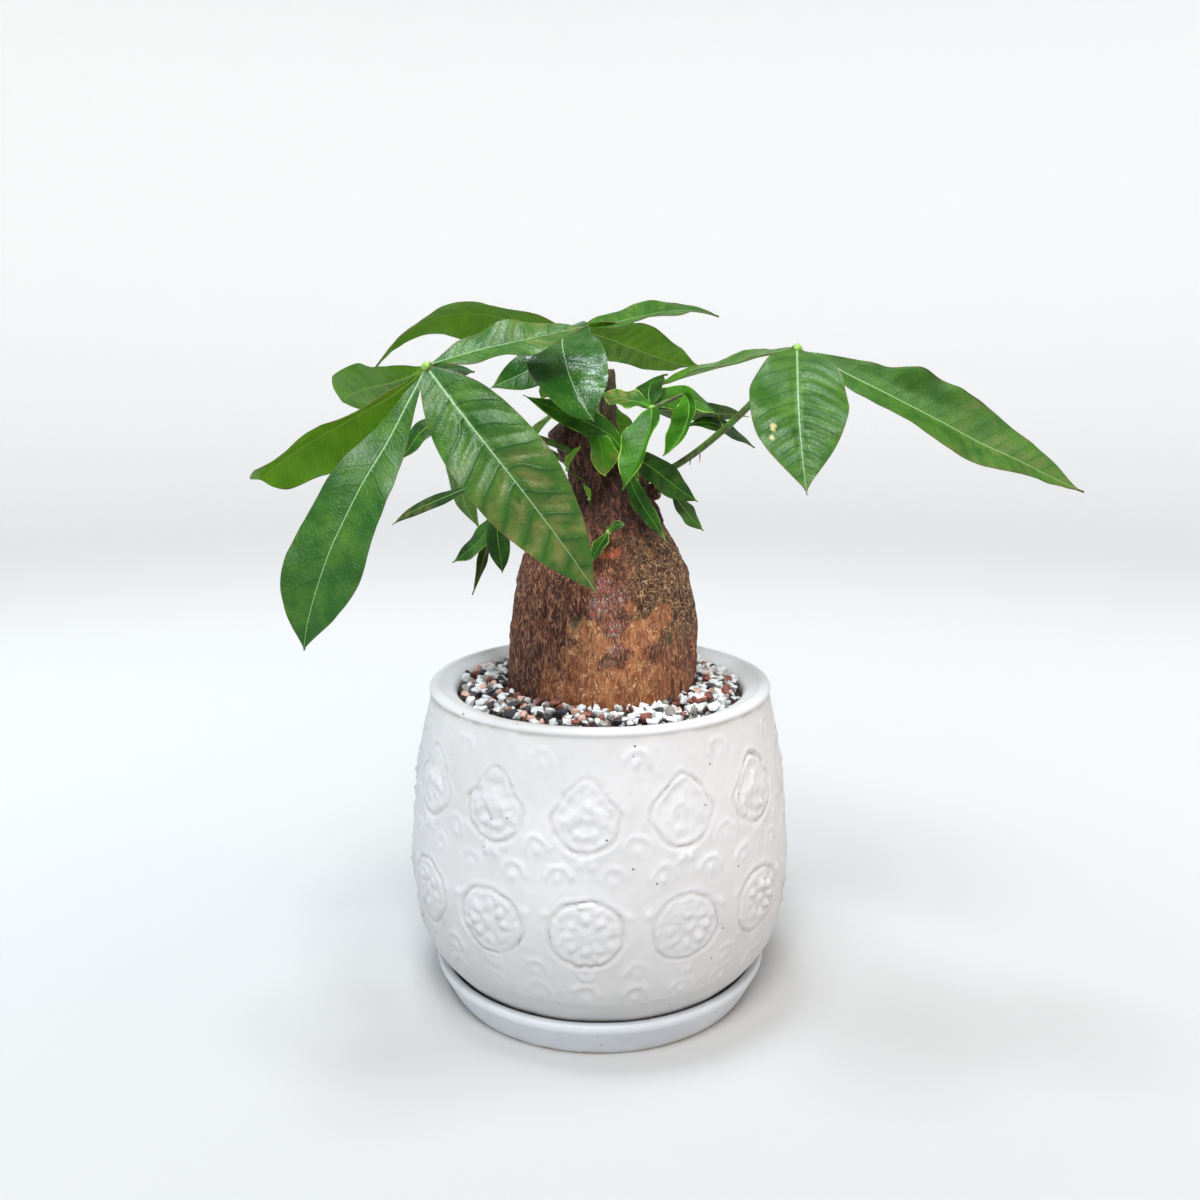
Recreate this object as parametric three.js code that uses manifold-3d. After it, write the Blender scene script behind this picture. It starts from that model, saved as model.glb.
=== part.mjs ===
// A potted money tree: a round-bellied glazed pot on its saucer, filled with soil under a bed
// of stone chips, a swollen trunk cut off short, and compound leaves that droop from its top.
// Millimetres, +Z up. The origin is the middle of the saucer's flat underside, on the surface
// that the saucer stands on; -Y is the front, and +X is to the right seen from the front.
import * as THREE from 'three';
import { mergeVertices } from 'three/addons/utils/BufferGeometryUtils.js';
import Module from 'manifold-3d';

const wasm = await Module();
wasm.setup();

// ---- Driving dimensions -------------------------------------------------------------

const GAP = 0.3; // air between pieces that rest on or against each other
const WELD = 1e-4; // points closer than this are one point
const SIDES = { saucer: 40, pot: 44, soil: 32, stub: 10, stalk: 3 }; // flat sides round each

const SAUCER_FLOOR = 4; // height of the saucer's floor, on which the pot stands
// The saucer's outline from the middle of its underside, over its lip and back to the middle of
// its floor, as [radius, height]
const SAUCER_OUTLINE = [[0, 0], [61.4, 0], [62.6, 0.8], [67.8, 13], [67.5, 14.2], [66.3, 15],
  [65, 15], [64.2, 14.3], [62.4, 6], [61, SAUCER_FLOOR], [0, SAUCER_FLOOR]];

const POT = {
  footRadius: 54,
  footWidth: 8,
  footLift: 2, // the underside inside the foot ring is this much higher
  floorRadius: 46, // of the inside, at its floor
  bellyRadius: 76,
  bellyHeight: 57,
  rimRadius: 67.2,
  mouthRadius: 56.5,
  wall: 8,
  floor: 8,
  drainRadius: 8,
};
// The outer face from the foot to the rim, as [radius, height above that surface]
const POT_FACE = [[POT.footRadius, SAUCER_FLOOR + GAP], [62.1, 12.8], [69.8, 23], [73.9, 35],
  [POT.bellyRadius, POT.bellyHeight], [74.6, 80], [71.5, 102], [POT.rimRadius, 125]];
const POT_FACE_POINTS = 12; // points of its outline
// The rim from its outer edge to the mouth, likewise
const POT_RIM = [[67, 126.6], [65.8, 127.6], [58.5, 127.6], [POT.mouthRadius, 125.6]];
// Heights from the mouth down at which the inside keeps the wall's thickness
const POT_LEVELS = [110, 80, 50, 30];

const SOIL = {
  top: 112,
  floorRadius: 45,
  wallClear: 0.8, // air between the soil and the pot's wall
};
const GRAVEL = {
  wallTop: 121.5, // height of the bed at the pot's wall
  trunkTop: 125, // and where it is heaped against the trunk
  wallClear: 0.6,
  stones: 84,
  smallest: 2.8,
  largest: 4,
  lift: 0.8, // the most that a chip is lifted out of the bed
  seed: 11,
};
const CHIP = {
  across: [0.8, 1.3], // least and most width, as shares of its size
  up: [0.7, 1.1], // and height
  turn: 3, // the most that it is turned, in radians
  reach: 1.35, // room that it needs, as a share of its size
  stray: 0.1, // the most that it strays round the bed, in radians
};

const TRUNK = {
  hole: 38.2, // radius of the hole in the soil and chips that it stands in
  foot: 99,
  sides: 20,
  bark: 0.35, // how far its surface goes in and out
};
// Lobes round the trunk, and how far they turn for each millimetre up, in radians
const TRUNK_LOBES = [{ count: 3, lean: 0.05 }, { count: 5, lean: -0.11 }];
// The trunk's rings from its foot to its cut top: [height, radius, middle x, middle y]
const TRUNK_RINGS = [[99, 24, 1, 0], [102, 31, 1, 0], [109, 35, 1, 0], [120, 36.4, 1, 0],
  [134, 36.8, 1, 0], [146, 36.5, 1, 0], [156, 35.5, 1, 0], [166, 33.8, 1, 0], [175, 31.4, 1, 0],
  [182, 28, 1, 0], [188, 24, 1, 0], [194, 20, 2, 0], [200, 17, 3, 1], [206, 14.5, 3, 1],
  [213, 12, 0, 1], [220, 11, -2, 1], [226, 9, -4, 1], [229, 5, -4, 1]];
// Stubs of cut branches on the trunk: from, to and radius
const STUBS = [
  { from: [-8, 0, 216], to: [-15, -3, 227], radius: 6 }, // knob at the left of the top
  { from: [4, 3, 220], to: [4.5, 4, 250], radius: 2.7 }, // thin dead leader
  { from: [2, 0, 221], to: [4, -11, 227], radius: 3 }, // cut end that faces the front
  { from: [12, 0, 197], to: [22, -4, 203], radius: 3.4 }, // at the right of the neck
];
const STUB_TAPER = { root: 1.15, end: 0.9 }; // shares of a stub's radius

const BLADE = {
  thickness: 0.8,
  rootHalf: 0.6, // half the least width, in the half towards the root
  tipHalf: 0.3, // and in the half towards the tip
  wave: 0.05, // height of the edge's ripples, as a share of the width
  waves: 2.5, // ripples along the length
  largeWidth: 16, // a leaflet wider than this has a finer grid
  large: { along: 9, across: 4 },
  small: { along: 6, across: 2 },
};
const STALK = {
  steps: 10,
  twigRadius: 0.8, // from the hub to a leaflet that grows beside it
  hubShare: 1.8, // radius of the hub, as a share of the stalk's
  hubLargest: 2.2,
  thick: 1.2, // a stalk of a larger radius has a rounder hub
};

// Every leaf or leafy shoot: the route of its stalk from inside the trunk to the hub, then its
// leaflets. A leaflet is [name, root or null for the hub, two points along its midrib, tip,
// width, where along it is widest, how slowly it widens, roll, fold, twist towards the tip],
// in mm and degrees.
const LEAVES = {
  leaf_front_left: {
    stalk: [[-6, 0, 214], [-13, -9, 219], [-32, -26, 228], [-48, -44, 242], [-58, -50, 249]],
    radius: 1.3,
    leaflets: [
      ['front_low', null, [-71, -66, 222], [-85, -78, 194], [-95, -84, 160], 27, 0.72, 1.2, 32, 6, 0],
      ['left', null, [-78, -46, 236], [-100, -42, 224], [-121, -34, 210], 27, 0.74, 1.2, -30, -35, 0],
      ['front_right', null, [-39, -62, 226], [-20, -66, 202], [-1, -62, 174], 32, 0.42, 0.8, -65, 8, 0],
      ['right', null, [-41, -46, 254], [-23, -40, 258], [-4, -32, 263], 22, 0.55, 1.3, -30, 12, 0],
      ['back_left', null, [-71, -38, 244], [-86, -18, 241], [-98, 2, 236], 20, 0.7, 0.9, -45, 5, 0],
      ['back', null, [-53, -46, 248], [-49, -40, 248], [-44, -32, 247], 9, 0.55, 1, -30, 10, 0],
    ],
  },
  leaf_top: {
    stalk: [[-2, 2, 214], [-3, 8, 229], [-8, 14, 248], [-10, 16, 263]],
    radius: 1.3,
    leaflets: [
      ['back_right', null, [9, 28, 268], [30, 42, 272], [50, 52, 269], 17, 0.5, 1, 0, 20, 0],
      ['front', null, [-13, -10, 259], [-10, -35, 245], [-2, -46, 231], 29, 0.6, 1, 0, 10, 0],
      ['right', null, [7, 36, 259], [25, 56, 253], [45, 70, 249], 24, 0.45, 0.9, 35, 5, 0],
      ['back_left', null, [-30, 28, 266], [-63, 46, 270], [-98, 58, 247], 26, 0.5, 1, -58, -25, 75],
      ['left', null, [-15, 6, 255], [-28, 0, 247], [-41, -8, 241], 16, 0.5, 1, 60, 10, 0],
    ],
  },
  leaf_right: {
    stalk: [[8, 0, 204], [20, -1, 207], [36, -6, 217], [54, -20, 235], [69, -30, 255]],
    radius: 1.3,
    leaflets: [
      ['right', null, [98, -40, 240], [130, -50, 223], [162, -58, 208], 25, 0.57, 1.3, -42, 20, 0],
      ['front', null, [66, -52, 241], [65, -66, 226], [66, -76, 209], 33, 0.42, 0.75, 0, 8, 0],
      ['left', null, [56, -8, 252], [39, 14, 247], [18, 34, 239], 18, 0.6, 1, 20, 10, 0],
      ['young', null, [65, -30, 253], [61, -28, 251], [58, -26, 249], 6, 0.5, 1, 20, 10, 0],
    ],
  },
  leaf_back: {
    stalk: [[0, 4, 214], [2, 12, 220], [0, 30, 232], [-3, 50, 239]],
    radius: 1.3,
    leaflets: [
      ['middle', null, [-3, 72, 226], [-1, 86, 204], [0, 90, 181], 28, 0.45, 0.9, 0, 8, 0],
      ['left', null, [-15, 66, 233], [-27, 80, 221], [-36, 86, 204], 22, 0.5, 1, 30, 8, 0],
      ['right', null, [5, 66, 231], [11, 78, 216], [15, 84, 199], 18, 0.5, 1, -30, 8, 0],
      ['up', null, [-12, 66, 241], [-21, 78, 239], [-27, 86, 234], 14, 0.5, 1, -20, 8, 0],
    ],
  },
  shoot_centre: {
    stalk: [[5, 0, 204], [12, -7, 209], [16, -13, 222], [19, -16, 234]],
    radius: 1,
    leaflets: [
      ['front', null, [18, -26, 227], [14, -32, 217], [8, -34, 206], 19, 0.5, 0.9, -15, 30, 0],
      ['second', [31, -10, 239], [33, -14, 233], [30, -18, 224], [23, -20, 217], 14, 0.55, 0.9, 10, 30, 0],
      ['right', null, [27, -4, 237], [39, 4, 235], [48, 10, 226], 14, 0.5, 1, -40, 8, 0],
      ['up', null, [18.2, -9, 238], [19.6, -1, 243], [26, 6, 246], 13, 0.5, 1, 20, 5, 0],
      ['far_right', null, [35, 4, 232], [47, 14, 231], [60, 24, 229], 8, 0.5, 1, 60, 5, 0],
      ['olive', null, [13, -14, 237], [7, -12, 239], [0, -10, 241], 11, 0.55, 0.9, 20, 8, 0],
      ['dark', [34, 0, 227], [44, 8, 227], [53, 14, 223], [62, 20, 217], 8, 0.5, 1, -50, 5, 0],
    ],
  },
  shoot_low: {
    stalk: [[2, 0, 207], [0, -12, 211], [8, -17, 218]],
    radius: 1,
    leaflets: [
      ['front', [-3, -18, 225], [0, -22, 221], [1, -24, 215], [2, -24, 210], 13, 0.5, 1, 0, 15, 0],
      ['down', null, [13, -20, 204], [18, -26, 196], [24, -34, 187], 7, 0.5, 1, -70, 5, 0],
      ['right', null, [19, -14, 212], [28, -12, 205], [37, -10, 199], 13, 0.5, 1, -60, 5, 0],
      ['left', null, [1, -18, 226], [-12, -18, 232], [-28, -18, 239], 10, 0.5, 1, 70, 5, 0],
    ],
  },
  shoot_stub: {
    stalk: [[17, -2, 200], [24, -6, 203], [27, -8, 202]],
    radius: 0.9,
    leaflets: [
      ['low', null, [31, -8, 197], [35, -6, 192], [40, -4, 187], 8, 0.5, 1, -60, 5, 0],
    ],
  },
  shoot_left: {
    stalk: [[-6, 0, 204], [-20, 0, 206], [-32, 3, 203], [-39, 4, 198]],
    radius: 1.1,
    leaflets: [
      ['hang_left', null, [-44, 6, 186], [-51, 8, 178], [-59, 10, 172], 11, 0.5, 1, 50, 5, 0],
      ['hang_right', null, [-40, 0, 187], [-39, -2, 178], [-38, -4, 170], 9, 0.5, 1, 0, 5, 0],
      ['hang_back', null, [-45, 11, 181], [-48, 13, 170], [-52, 14, 158], 6, 0.5, 1, 0, 5, 0],
      ['narrow', [-50, 0, 204], [-59, -4, 200], [-69, -8, 196], [-79, -10, 190], 5, 0.5, 1, 60, 5, 0],
    ],
  },
  shoot_back_left: {
    stalk: [[-8, 2, 210], [-22, 6, 218], [-40, 10, 228], [-52, 12, 229]],
    radius: 1.1,
    leaflets: [
      ['down', null, [-56, 12, 214], [-55, 15, 199], [-48, 17, 184], 15, 0.5, 1, 0, 5, 0],
      ['left', null, [-67, 11, 226], [-73, 10, 220], [-79, 9, 213], 9, 0.5, 1, 50, 5, 0],
      ['back', null, [-56, 30, 227], [-58, 46, 218], [-57, 58, 204], 18, 0.5, 1, 0, 8, 0],
    ],
  },
  shoot_bud: {
    stalk: [[3, -18, 190], [3, -24.5, 191], [3, -28, 190]],
    radius: 0.7,
    leaflets: [
      ['down', null, [1, -31, 187], [-1, -33, 184], [-3, -34, 180], 7, 0.5, 1, 0, 10, 0],
      ['up', null, [5, -30, 192], [7, -31, 193], [9, -31, 193], 4, 0.5, 1, -50, 10, 0],
    ],
  },
};

// ---- Materials ----------------------------------------------------------------------

function finish(color, roughness) {
  return new THREE.MeshStandardMaterial({ color, roughness, metalness: 0 });
}

const MATERIALS = {
  glaze: finish(0xe9e6df, 0.35),
  saucerGlaze: finish(0xeceeed, 0.45),
  soil: finish(0x3b2a1e, 0.95),
  gravel: finish(0xc9c3bb, 0.8),
  bark: finish(0x6b4a33, 0.9),
  leaf: finish(0x2f6b2c, 0.4),
  youngLeaf: finish(0x57a03a, 0.45),
};

// ---- Shared helpers -----------------------------------------------------------------

const vec = (p) => new THREE.Vector3(...p);

// A repeatable draw from 0 to 1
function seeded(seed) {
  let state = seed;
  return () => {
    state = (state * 1664525 + 1013904223) % 4294967296;
    return state / 4294967296;
  };
}

// A draw from one value to another
const between = (draw, [low, high]) => low + draw() * (high - low);

// A closed three.js geometry as a solid that can be joined and cut
function solid(geometry) {
  const bare = geometry.index ? geometry.toNonIndexed() : geometry.clone();
  bare.deleteAttribute('normal');
  bare.deleteAttribute('uv');
  const merged = mergeVertices(bare, WELD);
  return new wasm.Manifold(new wasm.Mesh({
    numProp: 3,
    vertProperties: Float32Array.from(merged.attributes.position.array),
    triVerts: Uint32Array.from(merged.index.array),
  }));
}

// A solid back as a geometry, with its faces flat
function geometryOf(body) {
  const mesh = body.getMesh();
  const geometry = new THREE.BufferGeometry();
  geometry.setAttribute('position', new THREE.Float32BufferAttribute(mesh.vertProperties, 3));
  geometry.setIndex(new THREE.Uint32BufferAttribute(mesh.triVerts, 1));
  return geometry;
}

// A turned solid: its outline is [radius, height] from the axis back to the axis, or closed
function turned(outline, sides) {
  const lathe = new THREE.LatheGeometry(outline.map(([r, z]) => new THREE.Vector2(r, z)), sides);
  lathe.rotateX(Math.PI / 2);
  return solid(lathe);
}

// A stalk of one radius along a smooth curve through the points
function stalk(points, radius, steps) {
  const section = new THREE.Shape();
  section.absarc(0, 0, radius, 0, Math.PI * 2);
  section.closePath();
  const path = new THREE.CatmullRomCurve3(points.map(vec));
  const settings = { steps, curveSegments: SIDES.stalk, extrudePath: path };
  return solid(new THREE.ExtrudeGeometry(section, settings));
}

// ---- Pot, saucer, soil --------------------------------------------------------------

function makeSaucer() {
  return turned(SAUCER_OUTLINE, SIDES.saucer);
}

const FACE_CURVE = new THREE.SplineCurve(POT_FACE.map((p) => new THREE.Vector2(...p)));
const FINE_FACE = FACE_CURVE.getPoints(3 * POT_FACE_POINTS);

// The radius of the pot's inside at a height
function innerRadius(z) {
  const above = FINE_FACE.find((p) => p.y >= z);
  return Math.max(above.x - POT.wall, POT.mouthRadius);
}

// The pot's inside from the mouth down, that much further in, as [radius, height]
function innerWall(clear) {
  return POT_LEVELS.map((z) => [innerRadius(z) - clear, z]);
}

const POT_FOOT = SAUCER_FLOOR + GAP;
const POT_FLOOR = POT_FOOT + POT.footLift + POT.floor;

function makePot() {
  const p = POT;
  const under = POT_FOOT + p.footLift;
  const footInside = p.footRadius - p.footWidth;
  const face = FACE_CURVE.getPoints(POT_FACE_POINTS - 1).map(({ x, y }) => [x, y]);
  const outline = [[p.drainRadius, under], [footInside - 1, under], [footInside, POT_FOOT],
    ...face, ...POT_RIM, ...innerWall(0), [p.floorRadius, POT_FLOOR], [p.drainRadius, POT_FLOOR],
    [p.drainRadius, under]];
  return turned(outline, SIDES.pot);
}

function makeSoil() {
  const low = POT_FLOOR + GAP;
  const holeFloor = TRUNK.foot - GAP;
  const outline = [[0, low], [SOIL.floorRadius, low], ...innerWall(SOIL.wallClear).reverse(),
    [innerRadius(SOIL.top) - SOIL.wallClear, SOIL.top], [TRUNK.hole, SOIL.top],
    [TRUNK.hole, holeFloor], [0, holeFloor]];
  return turned(outline, SIDES.soil);
}

// ---- Stone chips --------------------------------------------------------------------

// A chip: an eight-sided lump, longer or shorter each way and turned at random
function chip(draw, size) {
  const lump = new THREE.OctahedronGeometry(size);
  lump.scale(between(draw, CHIP.across), between(draw, CHIP.across), between(draw, CHIP.up));
  lump.rotateX(draw() * CHIP.turn);
  lump.rotateZ(draw() * CHIP.turn);
  return lump;
}

function makeGravel() {
  const draw = seeded(GRAVEL.seed);
  const outer = POT.mouthRadius - GRAVEL.wallClear;
  const bottom = SOIL.top + GAP;
  const { wallTop, trunkTop } = GRAVEL;
  const ring = [[TRUNK.hole, bottom], [outer, bottom], [outer, wallTop], [TRUNK.hole, trunkTop],
    [TRUNK.hole, bottom]];
  const stones = [];
  const golden = Math.PI * (3 - Math.sqrt(5));
  for (let i = 0; i < GRAVEL.stones; i += 1) {
    const size = between(draw, [GRAVEL.smallest, GRAVEL.largest]);
    const reach = size * CHIP.reach;
    const near = (TRUNK.hole + reach) ** 2;
    const far = (outer - reach) ** 2;
    const radius = Math.sqrt(near + (far - near) * ((i + 0.5) / GRAVEL.stones));
    const angle = i * golden + draw() * CHIP.stray;
    const lump = chip(draw, size);
    const level = THREE.MathUtils.mapLinear(radius, TRUNK.hole, outer, trunkTop, wallTop);
    const height = level + draw() * GRAVEL.lift;
    lump.translate(radius * Math.cos(angle), radius * Math.sin(angle), height);
    stones.push(solid(lump));
  }
  return wasm.Manifold.union([turned(ring, SIDES.soil), ...stones]);
}

// ---- Trunk --------------------------------------------------------------------------

// A ring of the trunk, a little out of round, with its surface that much further out
function trunkRing([z, radius, x, y], extra) {
  const points = [];
  for (let i = 0; i < TRUNK.sides; i += 1) {
    const a = (i / TRUNK.sides) * Math.PI * 2;
    const bulge = TRUNK_LOBES.reduce((sum, lobe) => sum + Math.sin(lobe.count * a + lobe.lean * z), 0);
    const r = radius + TRUNK.bark * bulge + extra;
    points.push([x + r * Math.cos(a), y + r * Math.sin(a), z]);
  }
  return points;
}

// The middle of a ring of points
function middle(ring) {
  return [0, 1, 2].map((axis) => ring.reduce((sum, p) => sum + p[axis], 0) / ring.length);
}

// A solid through rings of points from low to high, closed flat at both ends
function loft(rings) {
  const n = rings[0].length;
  const points = rings.flat();
  const faces = [];
  for (let k = 0; k + 1 < rings.length; k += 1) {
    for (let i = 0; i < n; i += 1) {
      const a = k * n + i;
      const b = k * n + ((i + 1) % n);
      faces.push(a, b, b + n, a, b + n, a + n);
    }
  }
  const low = points.push(middle(rings[0])) - 1;
  const high = points.push(middle(rings[rings.length - 1])) - 1;
  const top = (rings.length - 1) * n;
  for (let i = 0; i < n; i += 1) {
    faces.push(low, (i + 1) % n, i, high, top + i, top + ((i + 1) % n));
  }
  const geometry = new THREE.BufferGeometry();
  geometry.setAttribute('position', new THREE.Float32BufferAttribute(points.flat(), 3));
  geometry.setIndex(faces);
  return solid(geometry);
}

// A stub: a rod that thins towards its cut end
function makeStub({ from, to, radius }, extra) {
  const along = vec(to).sub(vec(from));
  const length = along.length() + extra;
  const [end, root] = [radius * STUB_TAPER.end + extra, radius * STUB_TAPER.root + extra];
  const rod = new THREE.CylinderGeometry(end, root, length, SIDES.stub);
  rod.translate(0, length / 2, 0);
  const turn = new THREE.Quaternion().setFromUnitVectors(vec([0, 1, 0]), along.normalize());
  rod.applyQuaternion(turn);
  rod.translate(...from);
  return solid(rod);
}

// The trunk with its stubs; extra makes it that much fatter and taller all over
function makeTrunk(extra) {
  const rings = TRUNK_RINGS.map((ring) => trunkRing(ring, extra));
  rings[0].forEach((p) => { p[2] -= extra; });
  rings[rings.length - 1].forEach((p) => { p[2] += extra; });
  const stubs = STUBS.map((stub) => makeStub(stub, extra));
  return wasm.Manifold.union([loft(rings), ...stubs]);
}

// ---- Leaves -------------------------------------------------------------------------

// The point and direction of a smooth midrib that passes its two inner points at 1/3 and 2/3
function midrib(root, first, second, tip) {
  const c1 = root.clone().multiplyScalar(-5).addScaledVector(first, 18)
    .addScaledVector(second, -9).addScaledVector(tip, 2).divideScalar(6);
  const c2 = root.clone().multiplyScalar(2).addScaledVector(first, -9)
    .addScaledVector(second, 18).addScaledVector(tip, -5).divideScalar(6);
  return new THREE.CubicBezierCurve3(root, c1, c2, tip);
}

// One leaflet: a thin closed blade, folded along its midrib and waved along its edges
function leaflet(root, row) {
  const [, , first, second, tip, width, peak, taper, roll, fold, twist] = row;
  const { along, across } = width > BLADE.largeWidth ? BLADE.large : BLADE.small;
  const rib = midrib(root, vec(first), vec(second), vec(tip));
  const slope = THREE.MathUtils.degToRad(fold);
  const tail = (taper * (1 - peak)) / peak;
  const widest = peak ** taper * (1 - peak) ** tail;
  const level = vec(tip).sub(root).cross(vec([0, 0, 1])).normalize();
  const upper = [];
  const lower = [];
  for (let i = 0; i <= along; i += 1) {
    const s = i / along;
    const point = rib.getPoint(s);
    const ahead = rib.getTangent(s);
    const side = level.clone().addScaledVector(ahead, -level.dot(ahead)).normalize();
    side.applyAxisAngle(ahead, -THREE.MathUtils.degToRad(roll + twist * s * s));
    const up = side.clone().cross(ahead);
    const shape = (s ** taper * (1 - s) ** tail) / widest;
    const least = s < 0.5 ? BLADE.rootHalf : BLADE.tipHalf;
    const half = Math.max((width / 2) * shape, least);
    for (let j = 0; j <= across; j += 1) {
      const t = (2 * j) / across - 1;
      const ripple = Math.sin(BLADE.waves * 2 * Math.PI * s + t) * t * t;
      const rise = Math.abs(t) * half * Math.sin(slope) + BLADE.wave * width * shape * ripple;
      const reach = t * half * Math.cos(slope);
      const at = point.clone().addScaledVector(side, reach).addScaledVector(up, rise);
      upper.push(at.clone().addScaledVector(up, BLADE.thickness / 2));
      lower.push(at.clone().addScaledVector(up, -BLADE.thickness / 2));
    }
  }
  return blade(upper, lower, along, across);
}

// Two matching grids of points closed into one thin solid, split into triangles alike
function blade(upper, lower, along, across) {
  const points = [...upper, ...lower].flatMap((p) => [p.x, p.y, p.z]);
  const under = upper.length;
  const at = (i, j) => i * (across + 1) + j;
  const faces = [];
  for (let i = 0; i < along; i += 1) {
    for (let j = 0; j < across; j += 1) {
      const [a, b, c, d] = [at(i, j), at(i + 1, j), at(i + 1, j + 1), at(i, j + 1)];
      faces.push(a, c, b, a, d, c);
      faces.push(under + a, under + b, under + c, under + a, under + c, under + d);
    }
  }
  const border = [];
  for (let i = 0; i < along; i += 1) border.push([at(i, 0), at(i + 1, 0)]);
  for (let j = 0; j < across; j += 1) border.push([at(along, j), at(along, j + 1)]);
  for (let i = along; i > 0; i -= 1) border.push([at(i, across), at(i - 1, across)]);
  for (let j = across; j > 0; j -= 1) border.push([at(0, j), at(0, j - 1)]);
  border.forEach(([a, b]) => faces.push(a, b, under + b, a, under + b, under + a));
  const geometry = new THREE.BufferGeometry();
  geometry.setAttribute('position', new THREE.Float32BufferAttribute(points, 3));
  geometry.setIndex(faces);
  return solid(geometry);
}

// A stalk with the leaflets at its end, cut off just clear of the trunk that carries it
function makeLeaf({ stalk: route, radius, leaflets }, trunkSpace) {
  const hub = vec(route[route.length - 1]);
  const hubRadius = Math.min(STALK.hubLargest, radius * STALK.hubShare);
  const knot = new THREE.IcosahedronGeometry(hubRadius, radius > STALK.thick ? 1 : 0);
  knot.translate(hub.x, hub.y, hub.z);
  const pieces = [stalk(route, radius, STALK.steps), solid(knot)];
  leaflets.forEach((row) => {
    const [, own] = row;
    if (own) pieces.push(stalk([hub.toArray(), own], STALK.twigRadius, 1));
    pieces.push(leaflet(own ? vec(own) : hub, row));
  });
  return wasm.Manifold.union(pieces).subtract(trunkSpace);
}

// ---- The object ---------------------------------------------------------------------

const plant = new THREE.Group();

function add(name, body, material) {
  const mesh = new THREE.Mesh(geometryOf(body), material);
  mesh.name = name;
  plant.add(mesh);
}

add('saucer', makeSaucer(), MATERIALS.saucerGlaze);
add('pot', makePot(), MATERIALS.glaze);
add('soil', makeSoil(), MATERIALS.soil);
add('gravel', makeGravel(), MATERIALS.gravel);
add('trunk', makeTrunk(0), MATERIALS.bark);

const trunkSpace = makeTrunk(GAP);
Object.entries(LEAVES).forEach(([name, leaf]) => {
  const material = name.startsWith('leaf') ? MATERIALS.leaf : MATERIALS.youngLeaf;
  add(name, makeLeaf(leaf, trunkSpace), material);
});

export default plant;
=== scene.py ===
# A potted money tree: a swollen trunk with drooping compound leaves, in a round-bellied glazed
# pot with an embossed pattern, filled with stone chips and standing on its saucer.
# Lengths are in millimetres, as in the frame's part, and become metres as each mesh is made.
import itertools
import math
from typing import NamedTuple

import bmesh
import bpy
import numpy as np
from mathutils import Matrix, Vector


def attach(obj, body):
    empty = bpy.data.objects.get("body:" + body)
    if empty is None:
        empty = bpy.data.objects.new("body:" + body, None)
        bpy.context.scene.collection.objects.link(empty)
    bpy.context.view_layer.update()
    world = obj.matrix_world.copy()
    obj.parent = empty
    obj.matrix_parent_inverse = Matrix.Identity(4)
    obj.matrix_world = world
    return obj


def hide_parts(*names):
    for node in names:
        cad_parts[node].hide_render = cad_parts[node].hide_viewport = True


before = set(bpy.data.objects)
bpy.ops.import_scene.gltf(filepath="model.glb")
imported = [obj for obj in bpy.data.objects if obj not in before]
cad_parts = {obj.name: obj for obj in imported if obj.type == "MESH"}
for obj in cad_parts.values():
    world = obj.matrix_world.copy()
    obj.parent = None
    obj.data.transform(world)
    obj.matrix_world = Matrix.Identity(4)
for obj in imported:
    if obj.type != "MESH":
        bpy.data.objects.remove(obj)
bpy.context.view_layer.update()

MM = 0.001

# ---- Driving dimensions -------------------------------------------------------------

CAMERA = {"place": (0.0, -429.9, 249.6), "down": 11.927, "focus": 1113.28, "image": 1200}

SAUCER = {"under": 61.4, "outer": 67.8, "inner": 64.2, "floor": 61.0, "floor_top": 4.0, "height": 15.0}

# The pot's outer face from its foot to its rim, as (radius, height)
POT_FACE = [(54, 4.3), (62.1, 12.8), (69.8, 23), (73.9, 35), (76, 57), (74.6, 80), (71.5, 102),
            (67.3, 124.2)]
# The rim from the groove under its bead, over the top and down the sloping inside
POT_RIM = [(66.9, 124.6), (67.6, 125.2), (67.6, 126.4), (66.3, 127.6), (63.6, 127.6), (62.9, 126.9),
           (58.0, 125.3), (56.7, 123.6), (56.7, 119), (60.5, 108)]
POT = {"foot_width": 8, "foot_lift": 2, "wall": 8, "floor": 8, "drain": 8, "floor_radius": 46}
# The embossed pattern: columns of a drop over a medallion, with smaller motifs between them
PATTERN = {"columns": 13, "first": -3.7, "depth": 1.2, "bottom": 25.5, "top": 120.5, "warp": 0.9}
DROP = {"height": 98.0, "half_width": 12.4, "half_height": 12.8}
MEDALLION = {"height": 55.2, "radius": 13.3, "flat": 0.93}
# Small arches between the columns: distance aside, height, radius
ARCHES = [(0, 85.5, 4.6), (0, 39, 4.6), (-8.6, 75.5, 4.3), (8.6, 75.5, 4.3), (0, 115.5, 4.4)]
# Soft bumps in a drop (heights from its middle), in a column and between two columns: strength,
# distance to either side, height, half of the width, half of the height and tilt
DROP_BUMPS = [(0.9, 0, 1.0, 2.0, 4.4, 0), (0.85, 4.3, -0.6, 1.7, 3.6, 24), (0.8, 0, -6.4, 1.5, 1.3, 0),
              (0.8, 3.3, -5.9, 1.5, 1.3, 0), (0.5, 7.2, 0.5, 1.1, 1.3, 0), (0.5, 7.2, -2.5, 1.1, 1.3, 0)]
COLUMN_BUMPS = [(0.7, 1.9, 81.5, 1.3, 1.9, 30), (0.7, 1.6, 38.5, 1.0, 2.1, -28)]
BETWEEN_BUMPS = [(0.6, 3.4, 62, 1.1, 2.0, -20)]

GRAVEL = {"inner": 37.2, "outer": 56.2, "level_in": 126.8, "level_out": 125.0, "spacing": 3.6}
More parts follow.
